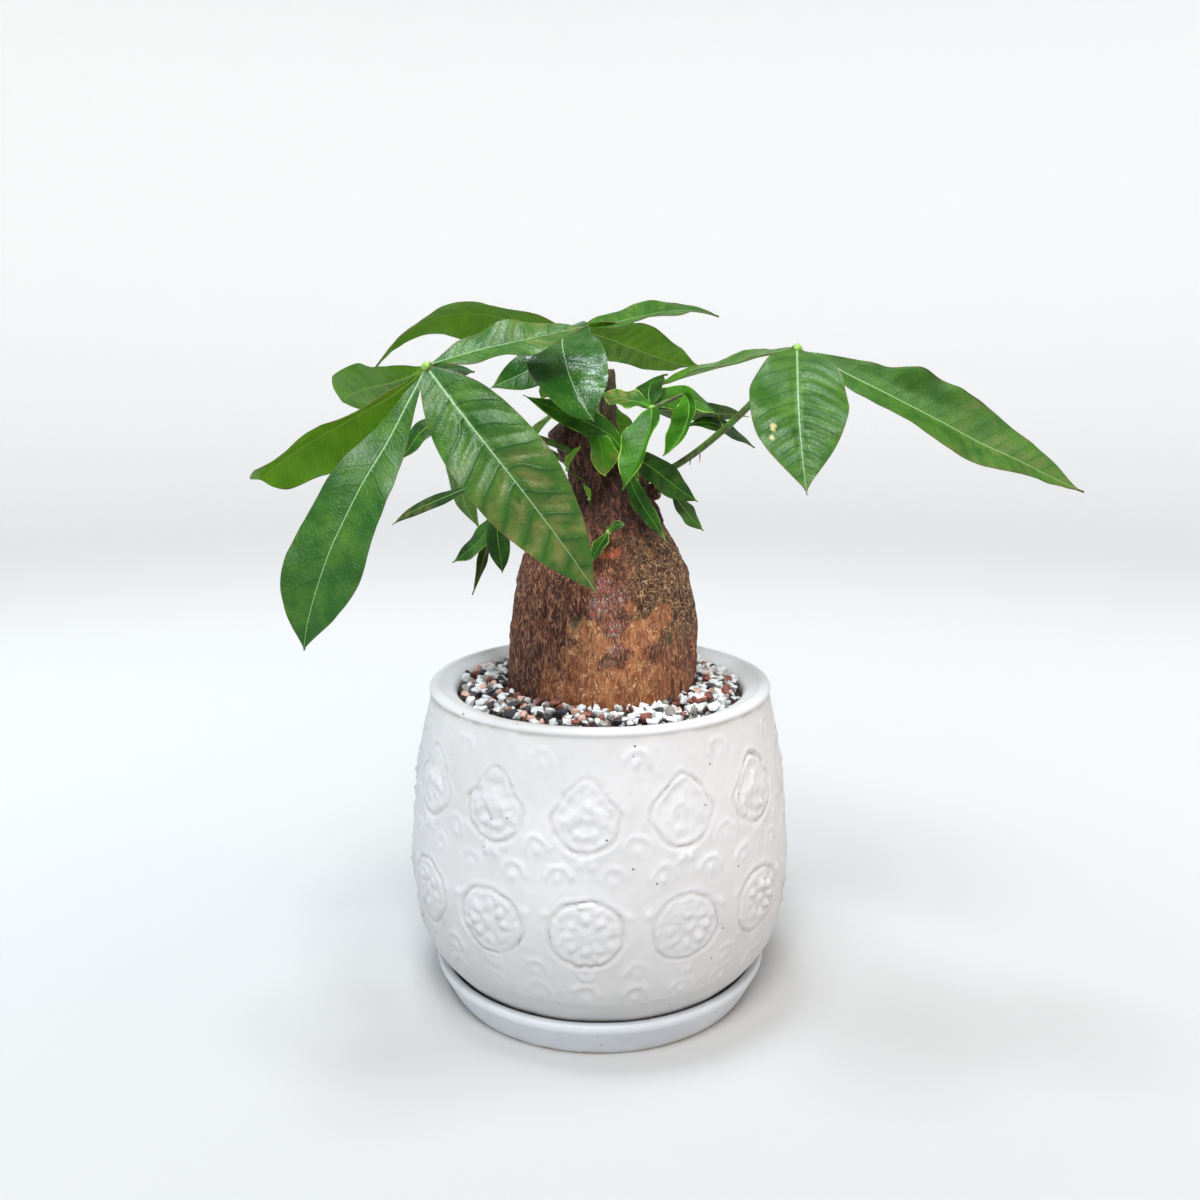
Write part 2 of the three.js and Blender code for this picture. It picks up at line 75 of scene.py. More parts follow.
# The kinds of stone and what share of the chips each one is
CHIP_SHARES = {"white": 0.49, "black": 0.20, "red": 0.10, "grey": 0.10, "salmon": 0.11}
CHIPS = {"seed": 7, "forms": 24, "smallest": 1.4, "largest": 2.7, "flat": 0.85, "layers": (-3.4, 0.0)}
GRIT = {"foot": 113, "under_chips": 3}

# The trunk's rings from its foot to its cut top: (height, radius, middle x, middle y)
TRUNK_RINGS = [(99, 24, 1, 0), (102, 31, 1, 0), (109, 35, 1, 0), (120, 36.4, 1, 0),
               (134, 36.8, 1, 0), (146, 36.5, 1, 0), (156, 35.5, 1, 0), (166, 33.8, 1, 0),
               (175, 31.4, 1, 0), (182, 28, 1, 0), (188, 24, 1, 0), (194, 20, 2, 0),
               (200, 17, 3, 1), (206, 14.5, 3, 1), (213, 12, 0, 1), (220, 11, -2, 1),
               (226, 9, -4, 1), (229, 5, -4, 1)]
# Stubs of cut branches on the trunk: from, to, radius, whether the end is freshly cut, and how
# dark and mossy it is
STUBS = [
    ((-8, 0, 216), (-15, -3, 227), 6, False, 0),
    ((3, 3, 220), (3, 4, 248), 3, False, 0.6),
    ((2, 0, 221), (4, -11, 227), 3, True, 0),
    ((12, 0, 197), (22, -4, 203), 3.4, True, 0),
]
# Bare patches where the bark has flaked off: angle from the front in degrees, height, half of
# the width and half of the height
BARE_PATCHES = [(-9, 147, 9.5, 14), (-14, 154, 5, 5), (20, 152, 7, 7), (29, 153, 8, 6),
                (39, 157, 7, 7), (17, 163, 3.2, 4), (4, 137, 10, 7), (22, 140, 9, 8),
                (1, 130, 25, 10), (150, 150, 10, 14), (205, 140, 14, 9), (100, 158, 5, 8)]
# Green scars and the pinkish flecks where the bark is thin: angle, height, radius
SCARS = [(-17, 157.5, 2.6), (44, 149.5, 2.4), (170, 165, 2.5)]
FLECKS = [(0, 171, 5), (8, 167, 5), (-3, 163, 5), (6, 155, 4), (5, 148, 3.5), (4, 142, 4), (200, 170, 7)]
TORN_RIM = {"middle": -2, "spread": 17, "height": 183.5, "drop": 7, "out": 1.2}
# The lower bark at the front, which is worn down to an orange tone
WARM_BAND = {"middle": 12, "spread": 48, "top": 139}

# Round soft lights: name, place, size, power and colour
LIGHTS = [("key", (-40, -850, 1400), 600, 20, (1.0, 1.0, 1.0)),
          ("sky", (-120, -60, 1250), 320, 8.5, (0.84, 0.93, 1.0)),
          ("warm_side", (1100, -200, 400), 400, 1.6, (1.0, 0.68, 0.38)),
          ("cool_side", (-1100, -200, 400), 400, 1.0, (0.32, 0.74, 1.0))]
LIGHTS_AIM = (0, 0, 150)
# The floor is painted darker near the object and paler far away as painted shade and light, and its far part
# glows as painted light
STUDIO = {"near": (0.50, 0.50, 0.50), "far": (0.88, 0.88, 0.88), "glow": 0.37,
          "air": (0.96, 0.98, 1.0, 1), "air_strength": 0.33}

# How many points go round each turned piece
ROUND = {"saucer": 256, "pot": 548, "grit": 240, "trunk": 360, "floor": 96}


class Leaflet(NamedTuple):
    """A leaflet. Its route is two points along the midrib and the tip, after its own root where
    that isn't the hub. peak is how far along it is widest, and a higher taper makes its ends more
    slender. Angles are in degrees; quilt is the height between its side veins, which are spacing
    apart; tone goes from 0 for deep green to 1 for fresh green, point from 0 for a blunt tip to 1,
    curl is how far one edge is turned up, and gloss goes from 0 for a dull face to 1."""
    name: str
    route: list
    width: float
    peak: float = 0.5
    taper: float = 1
    roll: float = 0
    fold: float = 5
    twist: float = 0
    quilt: float = 0.3
    tone: float = 0.4
    point: float = 1
    spacing: float = 7
    curl: float = 0
    gloss: float = 0.5


class Stem(NamedTuple):
    """A stalk from inside the bark to its hub, its radius, and the leaflets on the hub. One
    with no leaflets is a dry twig."""
    stalk: list
    radius: float
    leaflets: tuple = ()


# Small sprouts and dry twigs that grow from the bark or a stalk beside a leaf
SPROUTS = {
    "shoot_low": [
        Stem([(8, -17, 218), (8.5, -19, 217), (9, -20, 216)], 0.5, [
            Leaflet("single", [(10, -22, 213.5), (12, -24, 211), (14, -26, 208.5)], 4.5, fold=30, tone=1),
        ]),
        Stem([(-4, -6, 206), (-9, -13, 209), (-12, -19, 212)], 0.6, [
            Leaflet("single", [(-11, -21, 215), (-9, -23, 218), (-7, -24, 221)], 4.5, fold=30, tone=1),
        ]),
        Stem([(-3, -12, 197), (-3.6, -17, 199), (-4, -19, 201)], 0.5, [
            Leaflet("single", [(-4.5, -20, 203), (-5.2, -21, 205), (-6, -22, 207)], 3, fold=30, tone=0.8),
        ]),
    ],
    "leaf_right": [
        Stem([(36, -6, 217), (34.5, -9, 216), (33.6, -11, 212.8)], 0.5),
        Stem([(37, -7, 218), (37.6, -9, 216.4), (37.3, -11, 213.9)], 0.4),
        Stem([(69, -30, 255), (71, -31, 253), (72.7, -32, 251)], 0.7),
    ],
}

# Leaflets with dull olive patches towards the tip, and how strong these are
OLIVE = {"front_right": 0.6, "middle": 0.5, "mottled": 0.9, "olive": 1, "narrow": 0.5,
         "furthest": 0.3, "upper_right": 0.4}
# Dry spots on a leaflet's face: place and radius
DRY_SPOTS = [((56.6, -64, 229.3), 1.15), ((55.6, -65.2, 228), 1.1), ((53.8, -67.2, 225.8), 1.1),
             ((54.9, -66.9, 226), 0.9)]

BLADE = {"thickness": 0.46, "edge": 0.24, "root_half": 0.6, "tip_half": 0.12, "wave": 0.05,
         "waves": 2.5, "large_width": 16}

# Every leaf or leafy shoot
LEAVES = {
    "leaf_front_left": Stem([(-6, 0, 214), (-13, -9, 219), (-32, -26, 228), (-48, -44, 242),
                             (-58, -50, 249)], 1.3, [
        Leaflet("front_low", [(-71, -66, 222), (-85, -78, 194), (-95, -84, 160)], 27, peak=0.72, taper=1.2,
                roll=32, fold=6, tone=0.16, spacing=8.5, gloss=0.45),
        Leaflet("left", [(-78, -46, 236), (-100, -42, 224), (-121, -34, 210)], 27, peak=0.74, taper=1.2,
                roll=-30, fold=-35, tone=0.5, point=0),
        Leaflet("front_right", [(-39, -62, 226), (-20, -66, 202), (-1, -62, 174)], 31.5, peak=0.46,
                taper=0.74, roll=-65, fold=8, quilt=1.1, tone=0.3, point=0.7, spacing=9.5),
        Leaflet("upper_right", [(-41, -46, 254), (-23, -40, 258), (-4, -32, 263)], 22, peak=0.55, taper=1.3,
                roll=-30, fold=12, quilt=0.5, tone=0.35),
        Leaflet("back_left", [(-71, -38, 244), (-86, -18, 241), (-98, 2, 236)], 20, peak=0.7, taper=0.9,
                roll=-45, tone=0.2, point=0),
        Leaflet("back", [(-53, -46, 248), (-49, -40, 248), (-44, -32, 247)], 9, peak=0.55, roll=-30, fold=10,
                quilt=0.2, tone=0.1),
    ]),
    "leaf_top": Stem([(-2, 2, 214), (-3, 8, 229), (-8, 14, 248), (-10, 16, 263)], 1.3, [
        Leaflet("back_right", [(9, 28, 266.5), (30, 42, 271.3), (50, 52, 269.5)], 17, roll=-20, fold=16,
                quilt=0.4, gloss=0.8),
        Leaflet("front", [(-13.8, -10, 260), (-10.9, -34, 246.5), (-2, -44, 230.5)], 29, peak=0.6, fold=14,
                quilt=0.25, tone=0.1, spacing=8, gloss=0.8),
        Leaflet("right", [(7, 36, 259), (25, 56, 253), (45, 70, 249)], 24, peak=0.45, taper=0.9, roll=35,
                quilt=0.6),
        Leaflet("back_left", [(-30, 28, 266), (-63, 46, 270), (-98, 58, 247)], 26, roll=-58, fold=-25,
                twist=75, quilt=0.35, tone=0.5),
        Leaflet("left", [(-15, 6, 255), (-28, 0, 247), (-41, -8, 241)], 16, roll=60, fold=10, quilt=0.4,
                tone=0.05),
    ]),
    "leaf_right": Stem([(8, 0, 204), (20, -1, 207), (36, -6, 217), (54, -20, 235), (69, -30, 255)], 1.3, [
        Leaflet("furthest", [(98, -40, 240), (130, -50, 223), (162, -58, 208)], 25, peak=0.57, taper=1.3,
                roll=-42, fold=20, quilt=0.2, tone=0.38, spacing=5.5, curl=7, gloss=0.05),
        Leaflet("front", [(66, -52, 241), (65, -66, 226), (66, -76, 209)], 33, peak=0.42, taper=0.75, fold=8,
                quilt=0.8, tone=0.42, spacing=5.8, gloss=0.4),
        Leaflet("left", [(56, -8, 252), (39, 14, 247), (18, 34, 239)], 18, peak=0.6, roll=20, fold=10,
                quilt=0.4, tone=0.7),
        Leaflet("young", [(65, -30, 253), (61, -28, 251), (58, -26, 249)], 6, roll=20, fold=10, quilt=0.1,
                tone=1),
    ]),
    "leaf_back": Stem([(0, 4, 214), (2, 12, 220), (0, 30, 232), (-3, 50, 239)], 1.3, [
        Leaflet("middle", [(-3, 72, 226), (-1, 86, 204), (0, 90, 181)], 28, peak=0.45, taper=0.9, fold=8,
                quilt=0.8),
        Leaflet("left", [(-15, 66, 233), (-27, 80, 221), (-36, 86, 204)], 22, roll=30, fold=8, quilt=0.6,
                tone=0.5),
        Leaflet("right", [(5, 66, 231), (11, 78, 216), (15, 84, 199)], 18, roll=-30, fold=8, quilt=0.5,
                tone=0.3),
        Leaflet("up", [(-12, 66, 241), (-21, 78, 239), (-27, 86, 234)], 14, roll=-20, fold=8, tone=0.6),
    ]),
    "shoot_centre": Stem([(5, 0, 204), (12, -7, 209), (16, -13, 222), (19, -16, 234)], 1, [
        Leaflet("front", [(18, -26, 227), (14, -32, 217), (8, -34, 206)], 19, taper=0.9, roll=-15, fold=36,
                quilt=0.5, tone=0.55),
        Leaflet("second", [(31, -10, 239), (33, -14, 233), (30, -18, 224), (23, -20, 217)], 14, peak=0.55,
                taper=0.9, roll=10, fold=52, tone=0.7),
        Leaflet("right", [(27, -4, 237), (39, 4, 235), (48, 10, 226)], 14, roll=-40, fold=8, tone=0.5),
        Leaflet("up", [(18.2, -9, 238), (19.6, -1, 243), (26, 6, 246)], 13, roll=20, quilt=0.2, tone=0.05),
        Leaflet("far_right", [(35, 4, 232), (47, 14, 231), (60, 24, 229)], 8, roll=60, quilt=0.2, tone=0.05),
        Leaflet("olive", [(13, -14, 236), (7, -12, 237), (0, -10, 239.5)], 15, peak=0.55, taper=0.9, roll=20,
                fold=8, quilt=0.2, tone=0.5),
        Leaflet("dark", [(34, 0, 227), (44, 8, 227), (53, 14, 223), (62, 20, 217)], 8, roll=-50, quilt=0.2,
                tone=0),
    ]),
    "shoot_low": Stem([(2, 0, 207), (0, -12, 211), (8, -17, 218)], 1, [
        Leaflet("mottled", [(-3, -18, 225), (0, -22, 221), (1, -24, 215), (2, -24, 210)], 13, fold=15,
                tone=1),
        Leaflet("down", [(13, -20, 204), (18, -26, 196), (24, -34, 187)], 7, roll=-70, quilt=0.1, tone=0.15),
        Leaflet("right", [(19, -14, 212), (28, -12, 205), (37, -10, 199)], 13, roll=-60, tone=0.05),
        Leaflet("left", [(1, -18, 226), (-12, -18, 232), (-28, -18, 239)], 10, roll=70, quilt=0.2,
                tone=0.35),
    ]),
    "shoot_stub": Stem([(17, -2, 200), (24, -6, 203), (27, -8, 202)], 0.9, [
        Leaflet("low", [(31, -8, 197), (35, -6, 192), (40, -4, 187)], 8, roll=-60, quilt=0.2, tone=0.05),
    ]),
    "shoot_left": Stem([(-6, 0, 204), (-20, 0, 206), (-32, 3, 203), (-39, 4, 198)], 1.1, [
        Leaflet("hang_left", [(-44, 6, 186), (-51, 8, 178), (-59, 10, 172)], 11, roll=50, quilt=0.2,
                tone=0.2),
        Leaflet("hang_right", [(-40, 0, 187), (-39, -2, 178), (-38, -4, 170)], 9, quilt=0.2, tone=0.1),
        Leaflet("hang_back", [(-45, 11, 181), (-48, 13, 170), (-52, 14, 158)], 6, quilt=0.1, tone=0.05),
        Leaflet("narrow", [(-50, 0, 204), (-59, -4, 200), (-69, -8, 196), (-79, -10, 190)], 5, roll=60,
                quilt=0.1, tone=-0.4, gloss=0),
    ]),
    "shoot_back_left": Stem([(-8, 2, 210), (-22, 6, 218), (-40, 10, 228), (-52, 12, 229)], 1.1, [
        Leaflet("down", [(-56, 12, 214), (-55, 15, 199), (-48, 17, 184)], 15, tone=0.25),
        Leaflet("left", [(-67, 11, 226), (-73, 10, 220), (-79, 9, 213)], 9, roll=50, quilt=0.2, tone=0.1),
        Leaflet("back", [(-56, 30, 227), (-58, 46, 218), (-57, 58, 204)], 18, fold=8, quilt=0.4, tone=0.5),
    ]),
    "shoot_bud": Stem([(3, -18, 190), (3, -24.5, 191), (3, -28, 190)], 0.7, [
        Leaflet("down", [(1, -31, 187), (-1, -33, 184), (-3, -34, 180)], 7, fold=10, quilt=0.1, tone=0.3),
        Leaflet("up", [(5, -30, 192), (7, -31, 193), (9, -31, 193)], 4, roll=-50, fold=10, quilt=0.1,
                tone=0.2),
    ]),
}

# ---- Noise --------------------------------------------------------------------------


def lattice(i, j, k, seed):
    """A repeatable value from -1 to 1 at whole-number points."""
    n = (i * 73856093) ^ (j * 19349663) ^ (k * 83492791) ^ (seed * 51787)
    n = ((n & 0xFFFFFFFF) ^ ((n & 0xFFFFFFFF) >> 13)) * 1274126177 & 0xFFFFFFFF
    return ((n ^ (n >> 16)) & 0xFFFFFF) / 0x7FFFFF - 1.0


def noise(points, size, seed=0):
    """Smooth noise from -1 to 1 at each point, with features of about that size."""
    scaled = points / size
    cell = np.floor(scaled).astype(np.int64)
    part = scaled - cell
    blend = part * part * (3 - 2 * part)
    total = np.zeros(len(points))
    for corner in itertools.product((0, 1), repeat=3):
        weight = np.prod(np.where(corner, blend, 1 - blend), axis=1)
        total += weight * lattice(*(cell + corner).T, seed)
    return total


def rough(points, size, octaves, seed=0):
    """Noise with finer and finer noise laid over it."""
    size = np.asarray(size, float)
    return sum(noise(points, size / 2**k, seed + k) / 2**k for k in range(octaves))


def smooth_step(low, high, value):
    """0 below low, 1 above high, and a smooth rise between them."""
    x = np.clip((value - low) / (high - low), 0, 1)
    return x * x * (3 - 2 * x)


# ---- Meshes -------------------------------------------------------------------------


class Shape:
    """Points and faces gathered piece by piece, with numbers painted on the points."""

    def __init__(self):
        self.points = []
        self.faces = []
        self.slots = []
        self.paint = {}
        self.count = 0

    def add(self, points, faces, slot=0, **paint):
        points = np.asarray(points, float).reshape(-1, 3)
        self.faces += [[self.count + i for i in face] for face in faces]
        self.slots += [slot] * len(faces)
        for name, values in paint.items():
            self.paint.setdefault(name, []).append((self.count, np.asarray(values).ravel()))
        self.points.append(points)
        self.count += len(points)

    def build(self, name, materials, sharp=40):
        mesh = bpy.data.meshes.new(name)
        mesh.from_pydata((np.vstack(self.points) * MM).tolist(), [], self.faces)
        for material in materials:
            mesh.materials.append(material)
        mesh.polygons.foreach_set("material_index", self.slots)
        for title, runs in self.paint.items():
            values = np.zeros(self.count, np.float32)
            for start, run in runs:
                values[start:start + len(run)] = run
            mesh.attributes.new(title, "FLOAT", "POINT").data.foreach_set("value", values)
        mesh.shade_smooth()
        mesh.set_sharp_from_angle(angle=math.radians(sharp))
        piece = bpy.data.objects.new(name, mesh)
        bpy.context.collection.objects.link(piece)
        return piece


def merge_doubles(piece):
    """Joins points that lie at the same place, such as those of a ring with no radius."""
    shape = bmesh.new()
    shape.from_mesh(piece.data)
    bmesh.ops.remove_doubles(shape, verts=shape.verts, dist=1e-3 * MM)
    shape.to_mesh(piece.data)
    shape.free()


def belongs(piece, slot, *nodes):
    """Puts a piece on the body, and hides the frame's parts for these nodes, which it stands for."""
    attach(piece, "root")
    if nodes:
        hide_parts(*nodes)
    return piece


def grid_faces(rows, columns, wrap=False):
    """The four-sided faces of a grid of points; wrap joins the last column to the first."""
    i = np.arange(rows - 1)[:, None] * columns
    j = np.arange(columns if wrap else columns - 1)[None]
    k = (j + 1) % columns
    return np.stack([i + j, i + k, i + columns + k, i + columns + j], -1).reshape(-1, 4).tolist()


def spline(knots, count):
    """Points along a smooth curve through the knots."""
    knots = np.asarray(knots, float)
    padded = np.vstack([2 * knots[0] - knots[1], knots, 2 * knots[-1] - knots[-2]])
    where = np.linspace(0, len(knots) - 1, count)
    span = np.minimum(where.astype(int), len(knots) - 2)
    t = (where - span)[:, None]
    a, b, c, d = (padded[span + k] for k in range(4))
    return 0.5 * (2 * b + (c - a) * t + (2 * a - 5 * b + 4 * c - d) * t**2
                  + (3 * b - a - 3 * c + d) * t**3)


def rounded(corners, radius, steps=5):
    """A polyline with its inner corners rounded off by that much."""
    corners = [np.asarray(c, float) for c in corners]
    line = [corners[0]]
    for before, corner, after in zip(corners, corners[1:], corners[2:]):
        reach = min(radius, np.linalg.norm(before - corner) / 2, np.linalg.norm(after - corner) / 2)
        start = corner + (before - corner) / np.linalg.norm(before - corner) * reach
        end = corner + (after - corner) / np.linalg.norm(after - corner) * reach
        for t in np.linspace(0, 1, steps):
            line.append((1 - t)**2 * start + 2 * t * (1 - t) * corner + t**2 * end)
    return np.array(line + [corners[-1]])


def evenly(line, step):
    """A polyline with a point about every step along it."""
    line = np.asarray(line, float)
    along = np.concatenate([[0], np.cumsum(np.linalg.norm(np.diff(line, axis=0), axis=1))])
    where = np.linspace(0, along[-1], max(2, round(along[-1] / step) + 1))
    return np.stack([np.interp(where, along, line[:, k]) for k in range(line.shape[1])], 1)


def turned_points(profile, angles):
    """Points of a turned surface; angle 0 faces the front and grows towards the right."""
    radius, height = profile[:, 0:1], profile[:, 1:2]
    return np.stack([radius * np.sin(angles), -radius * np.cos(angles),
                     height + 0 * angles], -1).reshape(-1, 3)


def around(sides):
    """The angles of the points round a turned piece."""
    return np.linspace(0, 2 * np.pi, sides, endpoint=False)


def turned_piece(name, finish, points, sides, sharp=40, **paint):
    """A piece made of rings of points, with the points on its axis joined."""
    shape = Shape()
    shape.add(points, grid_faces(len(points) // sides, sides, wrap=True), **paint)
    piece = shape.build(name, [FINISH[finish]], sharp)
    merge_doubles(piece)
    return piece


def tube(route, radii, sides):
    """Points and faces of a closed tube along a route."""
    route = np.asarray(route, float)
    ahead = np.gradient(route, axis=0)
    ahead /= np.linalg.norm(ahead, axis=1, keepdims=True)
    across = np.cross(ahead[0], (0.3, 0.5, 0.8))
    rings = []
    turn = around(sides)
    for point, direction, radius in zip(route, ahead, radii):
        across = across - direction * across.dot(direction)
        across /= np.linalg.norm(across)
        other = np.cross(direction, across)
        rings.append(point + radius * (np.cos(turn)[:, None] * across + np.sin(turn)[:, None] * other))
    count = len(route) * sides
    faces = grid_faces(len(route), sides, wrap=True)
    last = count - sides
    faces += [[count, (i + 1) % sides, i] for i in range(sides)]
    faces += [[count + 1, last + i, last + (i + 1) % sides] for i in range(sides)]
    return np.vstack([*rings, route[:1], route[-1:]]), faces


# ---- Materials ----------------------------------------------------------------------


class Finish:
    """A procedural material, with short ways to add the nodes that it needs. Sizes are in
    millimetres, and long is how far a pattern is drawn out along the height."""

    def __init__(self, name, **settings):
        self.material = bpy.data.materials.new(name)
        self.material.use_nodes = True
        self.tree = self.material.node_tree
        self.shader = self.tree.nodes["Principled BSDF"]
        for title, value in settings.items():
            self.shader.inputs[title.replace("_", " ")].default_value = value
        self.place = self.node("ShaderNodeTexCoord").outputs["Object"]

    def feed(self, socket, value):
        if isinstance(value, bpy.types.NodeSocket):
            self.tree.links.new(value, socket)
        elif isinstance(value, (tuple, list)) and len(value) == 3 and len(socket.default_value) == 4:
            socket.default_value = (*value, 1)
        else:
            socket.default_value = value

    def node(self, kind, inputs=None, **settings):
        """A new node with these settings, fed with these inputs."""
        node = self.tree.nodes.new(kind)
        for title, value in settings.items():
            setattr(node, title, value)
        for key, value in (inputs or {}).items():
            self.feed(node.inputs[key], value)
        return node

    def scaled(self, long, place=None):
        """A place on the object in millimetres, drawn out along the height."""
        scale = tuple(1 / (MM * s) for s in (1, 1, long))
        node = self.node("ShaderNodeMapping", {"Vector": place or self.place, "Scale": scale})
        return node.outputs["Vector"]

    def bent(self, size, amount):
        """The place on the object, moved to and fro by that much in bends of that size."""
        settings = {"Vector": self.place, "Scale": 1 / (MM * size), "Detail": 1}
        bends = self.node("ShaderNodeTexNoise", settings).outputs["Color"]
        moved = {0: bends, 1: (4 * amount * MM,) * 3, 2: self.place}
        return self.node("ShaderNodeVectorMath", moved, operation="MULTIPLY_ADD").outputs["Vector"]

    def noise(self, size, detail=4, long=1, rough=0.55, warp=0.0):
        settings = {"Vector": self.scaled(long), "Scale": 1 / size, "Detail": detail,
                    "Roughness": rough, "Distortion": warp}
        return self.node("ShaderNodeTexNoise", settings).outputs["Fac"]

    def cells(self, size, feature="F1", long=1, output="Distance", place=None):
        settings = {"Vector": self.scaled(long, place), "Scale": 1 / size}
        return self.node("ShaderNodeTexVoronoi", settings, feature=feature).outputs[output]

    def painted(self, name):
        return self.node("ShaderNodeAttribute", attribute_name=name).outputs["Fac"]

    def math(self, operation, a, b=0.0, c=0.0, clamp=False):
        settings = {0: a, 1: b, 2: c}
        return self.node("ShaderNodeMath", settings, operation=operation, use_clamp=clamp).outputs[0]

    def plus(self, a, b):
        return self.math("ADD", a, b)

    def times(self, a, b, clamp=False):
        return self.math("MULTIPLY", a, b, clamp=clamp)

    def times_plus(self, a, b, c):
        return self.math("MULTIPLY_ADD", a, b, c)

    def step(self, value, low, high):
        """0 where the value is at low, 1 where it is at high, and smooth between them."""
        settings = {"Value": value, "From Min": low, "From Max": high}
        return self.node("ShaderNodeMapRange", settings, interpolation_type="SMOOTHSTEP").outputs["Result"]

    def patches(self, low, high, size, detail=4, **settings):
        """Patches of noise: 0 where it is at low and 1 where it is at high."""
        return self.step(self.noise(size, detail, **settings), low, high)

    def off_middle(self, value):
        """How far the part after the decimal point is from a half."""
        return self.math("ABSOLUTE", self.math("SUBTRACT", self.math("FRACT", value), 0.5))

    def contours(self, value, count, width):
        """Thin lines along equal steps of a value: 1 on a line and 0 between two."""
        return self.step(self.off_middle(self.times(value, count)), width, 0.4 * width)

    def blend(self, share, a, b):
        return self.node("ShaderNodeMix", {0: share, 2: a, 3: b}, data_type="FLOAT").outputs[0]

    def mix(self, share, a, b):
        return self.node("ShaderNodeMix", {0: share, 6: a, 7: b}, data_type="RGBA").outputs[2]

    def over(self, base, colour, share, strength):
        """A colour laid over a base where the share is above 0, and at most that strongly."""
        return self.mix(self.times(share, strength), base, colour)

    def bump(self, height, depth, strength=1.0):
        settings = {"Strength": strength, "Distance": depth * MM, "Height": height}
        self.feed(self.shader.inputs["Normal"], self.node("ShaderNodeBump", settings).outputs["Normal"])

    def colour(self, value):
        self.feed(self.shader.inputs["Base Color"], value)

    def roughness(self, value, low, high):
        """Roughness between low and high as the value goes from 0 to 1."""
        settings = {"Value": value, "To Min": low, "To Max": high}
        node = self.node("ShaderNodeMapRange", settings)
        self.feed(self.shader.inputs["Roughness"], node.outputs["Result"])


# Colours laid over the glaze: painted shade for the hollows of the relief and for the lower part of the pot,
# and the real pinholes and wear
GLAZE = {"recess_shade": (0.56, 0.53, 0.49), "grime": (0.47, 0.46, 0.45), "pinhole": (0.10, 0.09, 0.08),
         "worn": (0.45, 0.40, 0.30)}


def glaze(name, light, dark, cloud_size):
    """A worn off-white glaze with pinholes, with painted shade that greys the hollows of its relief and its
    lower part.
    """
    f = Finish(name, Specular_IOR_Level=0.3, Coat_Weight=0.06, Coat_Roughness=0.25)
    base = f.mix(f.patches(0.35, 0.7, cloud_size, 3), light, dark)
    # Painted shade: greyer where the relief is sunk
    base = f.over(base, GLAZE["recess_shade"], f.step(f.painted("relief"), 0.05, -0.35), 0.3)
    # Painted shade: greyer towards the pot's foot
    base = f.over(base, GLAZE["grime"], f.painted("grime"), 0.55)
    speck, rare = f.step(f.cells(5.5), 0.085, 0.055), f.patches(0.5, 0.56, 17, 1)
    base = f.over(base, GLAZE["pinhole"], speck, rare)
    base = f.over(base, GLAZE["worn"], f.painted("worn"), f.patches(0.40, 0.62, 9, 5))
    f.colour(base)
    f.roughness(f.noise(9), 0.3, 0.52)
    f.bump(f.plus(f.noise(3.5, 2), f.times(speck, f.times(rare, -2.0))), 0.12, 0.6)
    return f.material


def soil_finish():
    f = Finish("soil_crumbs", Roughness=0.95)
    f.colour(f.mix(f.noise(2.2, 6), (0.018, 0.012, 0.008), (0.075, 0.048, 0.03)))
    f.bump(f.noise(1.6, 6), 1.2)
    return f.material


def stone_finish(name, light, dark):
    """Stone with clouds of two colours and fine grains."""
    f = Finish(name, Roughness=0.62)
    cloud = f.patches(0.35, 0.65, 2.4, 5, rough=0.65)
    grain = f.patches(0.62, 0.7, 0.35, 2)
    f.colour(f.over(f.mix(cloud, light, dark), dark, grain, 0.35))
    f.roughness(cloud, 0.5, 0.75)
    f.bump(f.noise(0.7), 0.12, 0.7)
    return f.material


# Pairs of colours between which the bark and its bare wood change, and single colours over them, among them
# near-black painted shade for the crevices and cracks
BARK_PAIRS = {
    "maroon": ((0.105, 0.020, 0.013), (0.290, 0.085, 0.036)),
    "brown": ((0.045, 0.018, 0.010), (0.125, 0.050, 0.024)),
    "flakes": ((0.05, 0.012, 0.008), (0.42, 0.160, 0.085)),
    "thread": ((0.60, 0.28, 0.15), (0.62, 0.39, 0.19)),
    "wood": ((0.25, 0.070, 0.024), (0.50, 0.205, 0.080)),
    "raw": ((0.44, 0.090, 0.036), (0.72, 0.27, 0.13)),
    "dry": ((0.060, 0.020, 0.015), (0.24, 0.090, 0.055)),
}
BARK = {
    "warm": (0.46, 0.175, 0.065), "tan": (0.36, 0.140, 0.060), "recess_shade": (0.020, 0.006, 0.005),
    "crack_shade": (0.026, 0.008, 0.006), "thin": (0.20, 0.09, 0.07), "pink": (0.54, 0.13, 0.11),
    "pale": (0.60, 0.46, 0.40), "grain": (0.11, 0.032, 0.014), "hair": (0.76, 0.46, 0.22),
    "dry_recess_shade": (0.012, 0.006, 0.006), "dry_hair": (0.36, 0.19, 0.11), "moss": (0.045, 0.060, 0.014),
}


def flecked(f, base):
    """Pink and pale speckles where the bark is painted as thin."""
    fleck = f.painted("fleck")
    speckle = f.noise(1.2, 3, long=1.6, warp=1.2)
    base = f.over(base, BARK["thin"], fleck, 0.4)
    base = f.over(base, BARK["pink"], f.step(speckle, 0.53, 0.60), fleck)
    return f.over(base, BARK["pale"], f.step(speckle, 0.46, 0.39), fleck)


def bare_wood(f, hair):
    """Orange wood with a dark grain and light hairs."""
    wood = f.mix(f.patches(0.36, 0.64, 3.0, 6, long=2.5, warp=0.9), *BARK_PAIRS["wood"])
    wood = f.over(wood, BARK["grain"], f.patches(0.47, 0.38, 0.9, 5, long=5, warp=0.9), 0.8)
    return f.over(wood, BARK["hair"], hair, 0.85)


